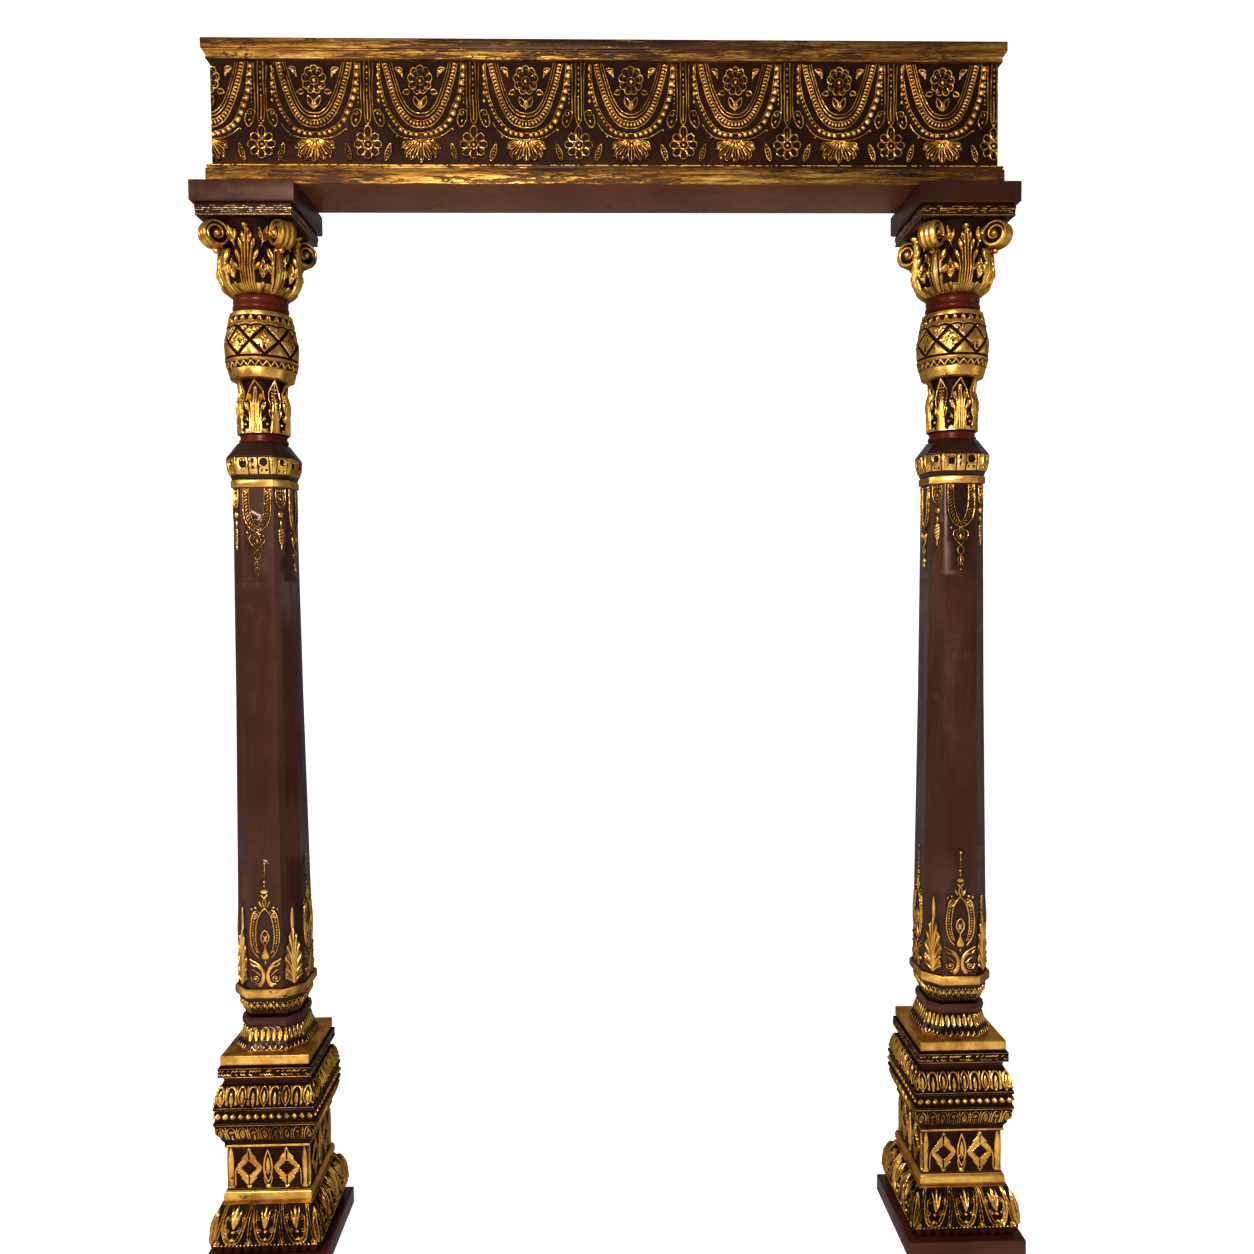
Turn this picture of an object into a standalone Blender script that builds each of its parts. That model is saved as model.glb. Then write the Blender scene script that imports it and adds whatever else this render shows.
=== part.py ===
"""Carved wooden entrance arch: two columns on carved pedestals under a carved three-board lintel.

Metres, +Z up, front of the arch to -Y, origin on the floor midway between the columns.
Each piece is drawn up from its own underside and then set on the piece below it.
"""

import math

import bmesh
import bpy
from mathutils import Matrix, Vector
from mathutils.geometry import delaunay_2d_cdt

# Overall layout
COLUMN_OFFSET = 0.7696
JOINT_GAP = 0.0003

# Plinth slab
PLINTH_HALF = 0.1300
PLINTH_HEIGHT = 0.0390
SLAB_EDGE = 0.0015

# Pedestal: heights of its mouldings from the bottom up, and their half widths
RECESS_HEIGHT = 0.0210
LEAF_FOOT_HEIGHT = 0.0837
BASE_TORUS_HEIGHT = 0.0270
DIE_HEIGHT = 0.0963
LEAF_BAND_HEIGHT = 0.0572
FASCIA_HEIGHT = 0.0405
CROWN_HEIGHT = 0.0616
RECESS_HALF = 0.1100
LEAF_FOOT_HALF = 0.1178
BASE_TORUS_HALF = 0.0957
DIE_HALF = 0.0868
LEAF_BAND_HALF = 0.1078
FASCIA_HALF = 0.1095
FASCIA_FILLET = 0.0065
FASCIA_CHANNEL = 0.0028
CROWN_HALF = 0.1063

# Pedestal carving, as shares of the leaf foot and of the die
FOOT_LEAF_PITCH = 0.600
FOOT_LEAF_WIDTH = 0.270
FOOT_LEAF_RELIEF = 0.0062
STAR_PLACE = 0.450
STAR_WIDTH = 0.310
STAR_HEIGHT = 0.440
SPINDLE_WIDTH = 0.110
DIE_RELIEF = 0.0042

# Pedestal cap
CAP_LOWER_HEIGHT = 0.0215
CAP_GROOVE_HEIGHT = 0.0041
CAP_UPPER_HEIGHT = 0.0212
CAP_LOWER_HALF = 0.1002
CAP_UPPER_HALF = 0.0958
CAP_GROOVE_DEPTH = 0.0028

# Shaft: heights from the bottom up, half widths across the flats, half width of a front face
FLARE_HEIGHT = 0.0490
LOW_TORUS_HEIGHT = 0.0211
LOW_BELL_HEIGHT = 0.0484
GILT_RING_HEIGHT = 0.0201
SHAFT_LENGTH = 1.0992
HEAD_FILLET_HEIGHT = 0.0162
COLLAR_HEIGHT = 0.0483
SHOULDER_HEIGHT = 0.0330
SHAFT_FACE_HALF = 0.0352
FLARE_HALF = 0.0774
LOW_TORUS_HALF = 0.0662
LOW_BELL_HALF = 0.0712
GILT_RING_HALF = 0.0785
SHAFT_LOW_HALF = 0.0735
SHAFT_MID_HALF = 0.0633
SHAFT_HIGH_HALF = 0.0586
SHAFT_MID_PLACE = 0.579
HEAD_FILLET_HALF = 0.0632
COLLAR_HALF = 0.0704
SHAFT_RELIEF = 0.0034
ACANTHUS_RELIEF = 0.0054

# Neck
CUP_RING_HEIGHT = 0.0200
CUP_HEIGHT = 0.1164
BULB_HEIGHT = 0.1430
NECK_RING_HEIGHT = 0.0380
CUP_RING_RADIUS = 0.0524
CUP_RADIUS = 0.0530
CUP_CORE_RADIUS = 0.0440
CUP_TIP_RADIUS = 0.0622
BULB_RADIUS = 0.0773
NECK_RING_RADIUS = 0.0592
LATTICE_DIAMONDS = 8
LATTICE_RELIEF = 0.0030
CUP_LEAF_WIDTHS = (0.78, 0.60)

# Capital
CAPITAL_HEIGHT = 0.1474
BELL_RADIUS = 0.0812
BELL_LEAF_HALVES = (0.27, 0.30)
BELL_LEAF_TOPS = (0.900, 0.604)
BELL_LEAF_RELIEF = 0.0095
VOLUTE_RADIUS = 0.0305
VOLUTE_HALF_WIDTH = 0.0165
VOLUTE_REACH = 0.1010
VOLUTE_SIDES = 8
BERRY_RADIUS = 0.0068
ROUND_SIDES = 16
BELL_SEAM = 0.294

# Abacus
ABACUS_MOULDING_HEIGHT = 0.0266
ABACUS_SLAB_HEIGHT = 0.0451
ABACUS_MOULDING_HALF = 0.1012
ABACUS_HALF = 0.1090

# Lintel boards: the bottom board reaches past the column centres and the other two are set off from it
BOTTOM_BOARD_HEIGHT = 0.0417
BOTTOM_BOARD_OVERHANG = 0.0824
BOTTOM_BOARD_HALF_LENGTH = COLUMN_OFFSET + BOTTOM_BOARD_OVERHANG
BOTTOM_BOARD_HALF_DEPTH = 0.0840
FRIEZE_HEIGHT = 0.2207
FRIEZE_END_SETBACK = 0.0090
FRIEZE_HALF_LENGTH = BOTTOM_BOARD_HALF_LENGTH - FRIEZE_END_SETBACK
FRIEZE_HALF_DEPTH = 0.0720
FRIEZE_RELIEF = 0.0050
TOP_BOARD_HEIGHT = 0.0400
TOP_BOARD_END_REACH = 0.0050
TOP_BOARD_HALF_LENGTH = BOTTOM_BOARD_HALF_LENGTH + TOP_BOARD_END_REACH
TOP_BOARD_HALF_DEPTH = 0.0830

# Frieze bays
BAY_PITCH = 0.2243
FIRST_BAY_INSET = 0.2183
INNER_SWAG_HALF = 0.0640
OUTER_SWAG_HALF = 0.0850
SWAG_STEPS = 6
FRIEZE_MARGIN = 0.0030


def clear_scene():
    for found in list(bpy.data.objects):
        bpy.data.objects.remove(found, do_unlink=True)


def material(name, colour, roughness, metallic):
    made = bpy.data.materials.new(name)
    made.use_nodes = True
    shader = made.node_tree.nodes["Principled BSDF"]
    shader.inputs["Base Color"].default_value = (*colour, 1.0)
    shader.inputs["Roughness"].default_value = roughness
    shader.inputs["Metallic"].default_value = metallic
    made.diffuse_color = (*colour, 1.0)
    return made


class Profile:
    """A vertical outline: rows of height, half width and half width of the flat front face."""

    def __init__(self, rows):
        self.rows = rows
        self.along = [0.0]
        for low, high in zip(rows, rows[1:]):
            step = math.hypot(high[0] - low[0], high[1] - low[1])
            self.along.append(self.along[-1] + step)

    def at(self, v):
        last = len(self.rows) - 2
        index = 0
        while index < last and v > self.along[index + 1]:
            index += 1
        span = self.along[index + 1] - self.along[index]
        part = (v - self.along[index]) / span
        low, high = self.rows[index], self.rows[index + 1]
        return [a + (b - a) * part for a, b in zip(low, high)]

    def v_of(self, z):
        for index in range(len(self.rows) - 1):
            low, high = self.rows[index][0], self.rows[index + 1][0]
            if low < high and low <= z <= high:
                part = (z - low) / (high - low)
                return self.along[index] + part * (self.along[index + 1] - self.along[index])
        raise ValueError(f"height {z} is off the profile")


class Shell:
    """Points and faces gathered from patches, welded into one closed mesh."""

    def __init__(self):
        self.points = []
        self.faces = []

    def add(self, points, faces):
        first = len(self.points)
        self.points += points
        self.faces += [[first + i for i in face] for face in faces]

    def build(self, name):
        mesh = bpy.data.meshes.new(name)
        work = bmesh.new()
        corners = [work.verts.new(point) for point in self.points]
        for face in self.faces:
            work.faces.new([corners[i] for i in face])
        bmesh.ops.remove_doubles(work, verts=work.verts, dist=2e-6)
        open_edges = [edge for edge in work.edges if edge.is_boundary]
        bmesh.ops.holes_fill(work, edges=open_edges, sides=0)
        bmesh.ops.triangulate(work, faces=[face for face in work.faces if len(face.verts) > 3])
        bmesh.ops.recalc_face_normals(work, faces=work.faces)
        work.to_mesh(mesh)
        work.free()
        made = bpy.data.objects.new(name, mesh)
        bpy.context.scene.collection.objects.link(made)
        return made


def height_between(point, figures):
    """Height of a crossing that falls on an edge of a figure."""
    best = 0.0
    for points, edges in figures:
        for i, j in edges:
            a, b = points[i], points[j]
            dx, dy = b[0] - a[0], b[1] - a[1]
            length = math.hypot(dx, dy)
            part = ((point[0] - a[0]) * dx + (point[1] - a[1]) * dy) / (length * length)
            off = abs((point[0] - a[0]) * dy - (point[1] - a[1]) * dx) / length
            if -1e-6 < part < 1 + 1e-6 and off < 1e-6:
                best = max(best, a[2] + (b[2] - a[2]) * part)
    return best


def relief_patch(shell, lines, figures, place):
    """A patch between level lines, each with its own points across, with raised figures drawn on it."""
    flat, edges, heights = [], [], []
    ends = []
    for v, across in lines:
        first = len(flat)
        for a in across:
            flat.append(Vector((a, v)))
            heights.append(0.0)
        edges += [(i, i + 1) for i in range(first, len(flat) - 1)]
        ends.append((first, len(flat) - 1))
    for low, high in zip(ends, ends[1:]):
        edges += [(low[0], high[0]), (low[1], high[1])]
    for points, joins in figures:
        first = len(flat)
        for a, v, height in points:
            flat.append(Vector((a, v)))
            heights.append(height)
        edges += [(first + i, first + j) for i, j in joins]
    found, _, faces, origins, _, _ = delaunay_2d_cdt(flat, edges, [], 0, 1e-8, True)
    placed = []
    for point, origin in zip(found, origins):
        if origin:
            height = max(heights[i] for i in origin)
        else:
            height = height_between(point, figures)
        placed.append(place(point[0], point[1], height))
    shell.add(placed, [list(face) for face in faces])


def loop_edges(first, count):
    return [(first + i, first + (i + 1) % count) for i in range(count)]


def chain_edges(first, count):
    return [(first + i, first + i + 1) for i in range(count - 1)]


def leaf_figure(x, z, half_width, half_height, relief, lean=0.0, fullness=0.0):
    """A pointed leaf with one raised rib; lean turns it, fullness lowers its widest place."""
    turn = Matrix.Rotation(-lean, 2)
    wide = -fullness * half_height
    corners = [(0, -half_height), (half_width, wide), (0, half_height), (-half_width, wide)]
    rib = [(0, -0.45 * half_height), (0, 0.35 * half_height)]
    points = []
    for index, corner in enumerate(corners + rib):
        turned = turn @ Vector(corner)
        points.append((x + turned[0], z + turned[1], relief if index >= len(corners) else 0.0))
    return points, loop_edges(0, 4) + [(0, 4), (4, 5), (5, 2)]


def flower_figure(x, z, radius, petals, relief, turn=0.0):
    """Petal tips and valleys round a raised ring of petal crowns, with a boss in the middle."""
    points = []
    for i in range(2 * petals):
        angle = turn + math.pi * i / petals
        reach = radius if i % 2 == 0 else 0.66 * radius
        points.append((x + reach * math.sin(angle), z + reach * math.cos(angle), 0.0))
    for i in range(petals):
        angle = turn + 2 * math.pi * i / petals
        reach = 0.62 * radius
        points.append((x + reach * math.sin(angle), z + reach * math.cos(angle), relief))
    points.append((x, z, relief * 0.7))
    edges = loop_edges(0, 2 * petals)
    for i in range(petals):
        edges += [(2 * i, 2 * petals + i), (2 * petals + i, 3 * petals)]
    return points, edges


def band_figure(path, half_width, relief):
    """A band along a path: two edges on the ground, a raised ridge between them and a point at each end."""
    count = len(path)
    sides = [[], [], []]
    for i, (x, z) in enumerate(path):
        before, after = path[max(i - 1, 0)], path[min(i + 1, count - 1)]
        along = Vector((after[0] - before[0], after[1] - before[1])).normalized()
        across = Vector((-along[1], along[0])) * half_width
        sides[0].append((x - across[0], z - across[1], 0.0))
        sides[1].append((x, z, relief))
        sides[2].append((x + across[0], z + across[1], 0.0))
    points = sides[0] + sides[1] + sides[2]
    edges = chain_edges(0, count) + chain_edges(count, count) + chain_edges(2 * count, count)
    for end, inner in ((0, 1), (count - 1, count - 2)):
        out = Vector((path[end][0] - path[inner][0], path[end][1] - path[inner][1])).normalized() * half_width / 2
        tip = len(points)
        points.append((path[end][0] + out[0], path[end][1] + out[1], 0.0))
        edges += [(end, tip), (tip, end + 2 * count), (end + count, tip)]
    return points, edges


def swag_path(x, half, top, bottom, steps):
    """A hanging garland from top left round its bottom to top right."""
    path = []
    for i in range(steps + 1):
        angle = math.pi * i / steps
        path.append((x - half * math.cos(angle), top - (top - bottom) * math.sin(angle) ** 0.8))
    return path


def fan_figure(x, top, half_width, bottom, lobes, relief):
    """A palmette of lobes that open downwards from one point."""
    height = top - bottom
    points = [(x, top, 0.0)]
    for i in range(2 * lobes - 1):
        angle = math.radians(-74 + 148 * i / (2 * lobes - 2))
        reach = 1.0 if i % 2 == 0 else 0.80
        drop = height * reach * (0.32 + 0.68 * math.cos(angle))
        points.append((x + half_width * reach * math.sin(angle), top - drop, 0.0))
    rim = len(points)
    for i in range(lobes):
        angle = math.radians(-74 + 148 * i / (lobes - 1))
        drop = height * 0.72 * (0.32 + 0.68 * math.cos(angle))
        points.append((x + half_width * 0.60 * math.sin(angle), top - drop, relief))
    edges = loop_edges(0, rim)
    edges += [(0, rim + i) for i in range(lobes)] + [(rim + i, 1 + 2 * i) for i in range(lobes)]
    return points, edges


def drop_figure(x, top, bottom, half_width, relief, neck=0.45):
    """A narrow stem that widens to a rounded drop."""
    swell = bottom + 0.16 * (top - bottom)
    points = [
        (x - neck * half_width, top, 0.0),
        (x - half_width, swell, 0.0),
        (x, bottom, 0.0),
        (x + half_width, swell, 0.0),
        (x + neck * half_width, top, 0.0),
        (x, top - 0.06 * (top - bottom), relief),
        (x, swell, relief),
    ]
    return points, loop_edges(0, 5) + [(5, 6)]


def scroll_figure(x, z, side, size, relief):
    """A small curled leaf: a stem that rises outwards over a round end."""
    shape = [(0.05, -1.0), (0.95, -0.55), (0.50, 0.10), (0.95, 1.0), (0.05, 0.10)]
    ridge = [(0.40, -0.50), (0.40, 0.25)]
    points = [(x + side * size * a, z + size * b, 0.0) for a, b in shape]
    points += [(x + side * size * a, z + size * b, relief) for a, b in ridge]
    count = len(shape)
    return points, loop_edges(0, count) + [(count, count + 1), (count + 1, 3)]


def star_figure(x, z, half_width, half_height, relief):
    """A four-pointed diamond star, open in the middle."""
    points = []
    for reach, height in ((1.0, 0.0), (0.68, relief), (0.40, 0.0)):
        for i in range(4):
            angle = math.pi * i / 2
            points.append((x + half_width * reach * math.sin(angle), z + half_height * reach * math.cos(angle), height))
    edges = loop_edges(0, 4) + loop_edges(4, 4) + loop_edges(8, 4)
    return points, edges


def moulding(start, height, half, points):
    """Rows of a moulding from shares of its height and set-backs from its half width."""
    return [(start + share * height, half - back) for share, back in points]


def faceted(start, height, half, points):
    """Rows of a chamfered moulding: a third value widens its front face beyond the shaft's."""
    rows = []
    for share, back, wider in points:
        rows.append((start + share * height, half - back, SHAFT_FACE_HALF + wider))
    return rows


def figures_on_profile(figures, profile, face_half):
    """Turns figures drawn in metres across and height into the coordinates of a face."""
    turned = []
    for points, edges in figures:
        moved = []
        for x, z, height in points:
            v = profile.v_of(z)
            moved.append((x / face_half(profile.at(v)), v, height))
        turned.append((moved, edges))
    return turned


def flat_face_place(profile, angle, face_half, face_distance):
    turn = Matrix.Rotation(angle, 3, "Z")

    def place(a, v, height):
        row = profile.at(v)
        return turn @ Vector((a * face_half(row), -(face_distance(row) + height), row[0]))

    return place


def sided_block(name, profile, front_figures, corner_figures=None):
    """A block with four equal faces, and four equal chamfer faces where corner_figures is given."""
    shell = Shell()
    lines = [(v, (-1.0, 1.0)) for v in profile.along]
    kinds = [(0.0, lambda row: row[2], lambda row: row[1], front_figures)]
    if corner_figures is not None:
        root = math.sqrt(2)
        kinds.append((math.pi / 4, lambda row: (row[1] - row[2]) / root,
                      lambda row: (row[1] + row[2]) / root, corner_figures))
    for start, half, distance, figures in kinds:
        drawn = figures_on_profile(figures, profile, half)
        for quarter in range(4):
            place = flat_face_place(profile, start + quarter * math.pi / 2, half, distance)
            relief_patch(shell, lines, drawn, place)
    return shell.build(name)


def round_block(name, profile, sides, figures, seam=0.0):
    """A turned block, with figures drawn in angle and height."""
    shell = Shell()
    full = 2 * math.pi
    across = [seam + full * i / sides for i in range(sides + 1)]
    lines = [(v, across) for v in profile.along]
    drawn = []
    for points, edges in figures:
        drawn.append(([(a, profile.v_of(z), height) for a, z, height in points], edges))

    def place(a, v, height):
        row = profile.at(v)
        reach = row[1] + height
        return Vector((reach * math.sin(a), -reach * math.cos(a), row[0]))

    relief_patch(shell, lines, drawn, place)
    return shell.build(name)


def square_profile(rows):
    return Profile([(z, half, half) for z, half in rows])


def round_profile(rows):
    return Profile([(z, radius, 0.0) for z, radius in rows])


def oblong_block(name, height, half_length, half_depth, points):
    """A board from shares of its height and set-backs of its edge."""
    shell = Shell()
    rings = []
    for share, back in points:
        x, y = half_length - back, half_depth - back
        rings.append([Vector((a * x, b * y, share * height)) for a, b in ((-1, -1), (1, -1), (1, 1), (-1, 1))])
    for low, high in zip(rings, rings[1:]):
        for i in range(4):
            j = (i + 1) % 4
            shell.add([low[i], low[j], high[j], high[i]], [[0, 1, 2], [0, 2, 3]])
    return shell.build(name)


def finish(made, shared_material):
    made.data.materials.clear()
    made.data.materials.append(shared_material)
    return made


def unite(target, tools):
    """Joins overlapping solids into the target."""
    for index, tool in enumerate(tools):
        join = target.modifiers.new(f"join {index}", "BOOLEAN")
        join.operation = "UNION"
        join.solver = "EXACT"
        join.object = tool
    bpy.context.view_layer.update()
    graph = bpy.context.evaluated_depsgraph_get()
    merged = bpy.data.meshes.new_from_object(target.evaluated_get(graph))
    target.modifiers.clear()
    target.data = merged
    for tool in tools:
        bpy.data.objects.remove(tool, do_unlink=True)
    return target


def plinth_solid(name):
    inner = PLINTH_HALF - SLAB_EDGE
    rows = [(0.0, inner), (SLAB_EDGE, PLINTH_HALF), (PLINTH_HEIGHT - SLAB_EDGE, PLINTH_HALF), (PLINTH_HEIGHT, inner)]
    return sided_block(name, square_profile(rows), [])


def pedestal_solid(name):
    rows = [(0.0, RECESS_HALF), (RECESS_HEIGHT, RECESS_HALF)]
    z = RECESS_HEIGHT
    rows += moulding(z, LEAF_FOOT_HEIGHT, LEAF_FOOT_HALF, ((0, 0), (0.60, 0.0043), (0.81, 0.0118), (1, 0.0228)))
    z += LEAF_FOOT_HEIGHT
    rows += moulding(z, BASE_TORUS_HEIGHT, BASE_TORUS_HALF, ((0.05, 0.0032), (0.22, 0), (0.85, 0), (1, 0.0037)))
    z += BASE_TORUS_HEIGHT
    rows += moulding(z, DIE_HEIGHT, DIE_HALF, ((0, 0), (1, 0)))
    figures = foot_leaves() + die_figures(z + DIE_HEIGHT / 2)
    z += DIE_HEIGHT
    rows += moulding(z, LEAF_BAND_HEIGHT, LEAF_BAND_HALF,
                     ((0, 0.0158), (0.21, 0.0154), (0.31, 0.0120), (0.57, 0.0060), (0.97, 0)))
    z += LEAF_BAND_HEIGHT
    fillet = FASCIA_FILLET / FASCIA_HEIGHT
    rows += moulding(z, FASCIA_HEIGHT, FASCIA_HALF,
                     ((0, 0), (fillet, 0), (fillet, FASCIA_CHANNEL), (1 - fillet, FASCIA_CHANNEL), (1 - fillet, 0), (1, 0)))
    z += FASCIA_HEIGHT
    rows += moulding(z, CROWN_HEIGHT, CROWN_HALF,
                     ((0.02, 0), (0.325, 0.0028), (0.69, 0.0113), (0.71, 0.0143), (0.86, 0.0161), (1, 0.0133)))
    return sided_block(name, square_profile(rows), figures)


def foot_leaves():
    """Three broad leaves that hang over the lower edge of each side of the pedestal foot."""
    shape = ((-0.55, 0.89), (-1.0, 0.55), (-0.55, 0.09), (0.55, 0.09), (1.0, 0.55), (0.55, 0.89))
    rib = ((0.69, 0.6), (0.24, 1.0))
    half = FOOT_LEAF_WIDTH * LEAF_FOOT_HALF
    figures = []
    for i in (-1, 0, 1):
        x = i * FOOT_LEAF_PITCH * LEAF_FOOT_HALF
        points = [(x + half * a, RECESS_HEIGHT + LEAF_FOOT_HEIGHT * b, 0.0) for a, b in shape]
        points += [(x, RECESS_HEIGHT + LEAF_FOOT_HEIGHT * b, FOOT_LEAF_RELIEF * c) for b, c in rib]
        figures.append((points, loop_edges(0, len(shape)) + [(len(shape), len(shape) + 1)]))
    return figures


def die_figures(middle):
    """Two open diamond stars on each side of the die, with a spindle leaf between them."""
    half_height = STAR_HEIGHT * DIE_HEIGHT
    figures = [leaf_figure(0.0, middle, SPINDLE_WIDTH * DIE_HALF, half_height, DIE_RELIEF)]
    for side in (-1, 1):
        figures.append(star_figure(side * STAR_PLACE * DIE_HALF, middle, STAR_WIDTH * DIE_HALF, half_height, DIE_RELIEF))
    return figures


def cap_solid(name):
    lower, upper = CAP_LOWER_HALF, CAP_UPPER_HALF
    groove = upper - CAP_GROOVE_DEPTH
    step = CAP_LOWER_HEIGHT
    shelf = step + CAP_GROOVE_HEIGHT
    top = shelf + CAP_UPPER_HEIGHT
    rows = [
        (0.0, lower - 2 * SLAB_EDGE), (2 * SLAB_EDGE, lower), (step - SLAB_EDGE, lower), (step, lower - SLAB_EDGE),
        (step, groove), (shelf, groove), (shelf, upper), (top - SLAB_EDGE, upper), (top, upper - SLAB_EDGE),
    ]
    return sided_block(name, square_profile(rows), [])


def shaft_solid(name):
    rows = faceted(0.0, FLARE_HEIGHT, FLARE_HALF, ((0, 0, 0.0091), (0.12, 0, 0.0091), (0.45, 0.0079, 0.0062), (1, 0.0168, 0.0028)))
    z = FLARE_HEIGHT
    rows += faceted(z, LOW_TORUS_HEIGHT, LOW_TORUS_HALF, ((0.07, 0.0018, 0.0040), (0.55, 0, 0.0048), (1, 0.0022, 0.0038)))
    z += LOW_TORUS_HEIGHT
    rows += faceted(z, LOW_BELL_HEIGHT, LOW_BELL_HALF, ((0, 0.0160, 0.0023), (0.50, 0.0052, 0.0052), (1, 0, 0.0063)))
    z += LOW_BELL_HEIGHT
    rows += faceted(z, GILT_RING_HEIGHT, GILT_RING_HALF, ((0, 0.0023, 0.0073), (0.20, 0, 0.0078), (1, 0.0008, 0.0073)))
    z += GILT_RING_HEIGHT
    front = wreath_figures(z)
    corner = [acanthus_figure(0.0, z + 0.0094, z + 0.1874, 0.0195, ACANTHUS_RELIEF)]
    for share, half in ((0, SHAFT_LOW_HALF), (SHAFT_MID_PLACE, SHAFT_MID_HALF), (1, SHAFT_HIGH_HALF)):
        rows.append((z + share * SHAFT_LENGTH, half, SHAFT_FACE_HALF))
    z += SHAFT_LENGTH
    front += garland_figures(z)
    corner += [leaf_figure(0.0, z - 0.0268, 0.0100, 0.0200, SHAFT_RELIEF),
               leaf_figure(0.0, z - 0.0968, 0.0065, 0.0420, SHAFT_RELIEF)]
    rows += faceted(z, HEAD_FILLET_HEIGHT, HEAD_FILLET_HALF, ((0, 0, 0.0010), (1, 0, 0.0010)))
    z += HEAD_FILLET_HEIGHT
    rows += faceted(z, COLLAR_HEIGHT, COLLAR_HALF,
                    ((0.02, 0.0100, 0.0005), (0.22, 0.0066, 0.0023), (0.54, 0.0020, 0.0038), (1, 0, 0.0045)))
    z += COLLAR_HEIGHT
    rows += faceted(z, SHOULDER_HEIGHT, COLLAR_HALF, ((0.07, 0.0014, 0.0041), (0.51, 0.0122, 0.0010), (1, 0.0234, -0.0032)))
    return sided_block(name, Profile(rows), front, corner)


def garland_figures(top):
    """The hanging garland and heart drop under the head of each front face."""
    garland = swag_path(0.0, 0.0270, top - 0.0058, top - 0.0988, 4)
    return [band_figure(garland, 0.0055, SHAFT_RELIEF), leaf_figure(0.0, top - 0.1318, 0.0125, 0.0260, SHAFT_RELIEF, 0.0, -0.25)]


def wreath_figures(low):
    """The upright wreath with its leaf, spire and two scroll leaves at the foot of each front face."""
    wreath = swag_path_up(0.0, 0.0270, low + 0.0954, low + 0.1794, 4)
    figures = [band_figure(wreath, 0.0060, SHAFT_RELIEF), leaf_figure(0.0, low + 0.1274, 0.0085, 0.0260, SHAFT_RELIEF)]
    figures.append(leaf_figure(0.0, low + 0.2354, 0.0060, 0.0460, SHAFT_RELIEF, 0.0, 0.5))
    return figures + [scroll_figure(side * 0.0035, low + 0.0440, side, 0.0320, SHAFT_RELIEF) for side in (-1, 1)]


def swag_path_up(x, half, low, high, steps):
    """A wreath side to side over its pointed top."""
    path = []
    for i in range(steps + 1):
        part = i / steps
        reach = abs(2 * part - 1)
        path.append((x + half * (2 * part - 1) * (1.25 - 0.45 * reach), low + (high - low) * (1 - reach ** 1.7)))
    return path


def acanthus_figure(x, low, high, half_width, relief):
    """An upright lobed leaf with a raised rib."""
    height = high - low
    shape = [(0.25, 0.0), (1.0, 0.26), (0.55, 0.58), (0.20, 0.76)]
    points = [(x + half_width * a, low + height * b, 0.0) for a, b in shape]
    points.append((x, high, 0.0))
    points += [(x - half_width * a, low + height * b, 0.0) for a, b in reversed(shape)]
    rim = len(points)
    points += [(x, low + height * b, relief * c) for b, c in ((0.08, 0.6), (0.35, 1.0), (0.72, 0.7))]
    return points, loop_edges(0, rim) + chain_edges(rim, 3) + [(rim + 2, 4)]


def neck_solid(name):
    rows = moulding(0.0, CUP_RING_HEIGHT, CUP_RING_RADIUS, ((0, 0.0022), (0.10, 0), (1, 0.0042)))
    z = CUP_RING_HEIGHT
    rows += moulding(z, CUP_HEIGHT, CUP_RADIUS, ((0.21, 0.0015), (0.56, 0), (0.76, 0.0070)))
    figures = cup_leaves(z)
    z += CUP_HEIGHT
    rows.append((z, CUP_CORE_RADIUS))
    rows += moulding(z, BULB_HEIGHT, BULB_RADIUS, ((0, 0.0141), (0.24, 0.0023), (0.54, 0), (0.775, 0.0061), (1, 0.0117)))
    figures += lattice_figures(z)
    z += BULB_HEIGHT
    rows += moulding(z, NECK_RING_HEIGHT, NECK_RING_RADIUS, ((0.19, 0.0042), (0.71, 0), (1, 0.0052)))
    return round_block(name, round_profile(rows), ROUND_SIDES, figures)


def lattice_figures(low):
    """Raised plates between crossing grooves round the bulb, whole ones and half ones above and below."""
    step = 2 * math.pi / LATTICE_DIAMONDS
    half = step / 2

    def level(share):
        return low + share * BULB_HEIGHT

    figures = []
    for i in range(LATTICE_DIAMONDS):
        a = (i + 0.5) * step
        figures.append(plate_figure([(a, level(0.336)), (a + half, level(0.536)), (a, level(0.752)), (a - half, level(0.536))],
                                    LATTICE_RELIEF))
        if i < LATTICE_DIAMONDS - 1:
            b = (i + 1) * step
            for point, edge in ((0.568, 0.764), (0.507, 0.315)):
                corners = [(b, level(point)), (b + 0.85 * half, level(edge)), (b - 0.85 * half, level(edge))]
                figures.append(point_figure(corners, LATTICE_RELIEF))
    return figures


def plate_figure(corners, relief):
    """A raised plate with sloping sides inside the given corners."""
    count = len(corners)
    mean_a = sum(corner[0] for corner in corners) / count
    mean_z = sum(corner[1] for corner in corners) / count
    points = []
    for share, height in ((0.90, 0.0), (0.68, relief)):
        for a, z in corners:
            points.append((mean_a + (a - mean_a) * share, mean_z + (z - mean_z) * share, height))
    return points, loop_edges(0, count) + loop_edges(count, count)


def point_figure(corners, relief):
    """A raised point over the middle of its corners."""
    count = len(corners)
    middle = (sum(corner[0] for corner in corners) / count, sum(corner[1] for corner in corners) / count, relief)
    return [(a, z, 0.0) for a, z in corners] + [middle], loop_edges(0, count)


def cup_leaves(low):
    """Broad leaves at the front, back and sides of the cup, with narrower ones between them."""
    wide, narrow = CUP_LEAF_WIDTHS
    quarter = math.pi / 2
    figures = []
    for i in range(4):
        figures.append(cup_leaf((i + 0.5) * quarter, narrow, low))
        if i < 3:
            figures.append(cup_leaf((i + 1) * quarter, wide, low))
    return figures


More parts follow.
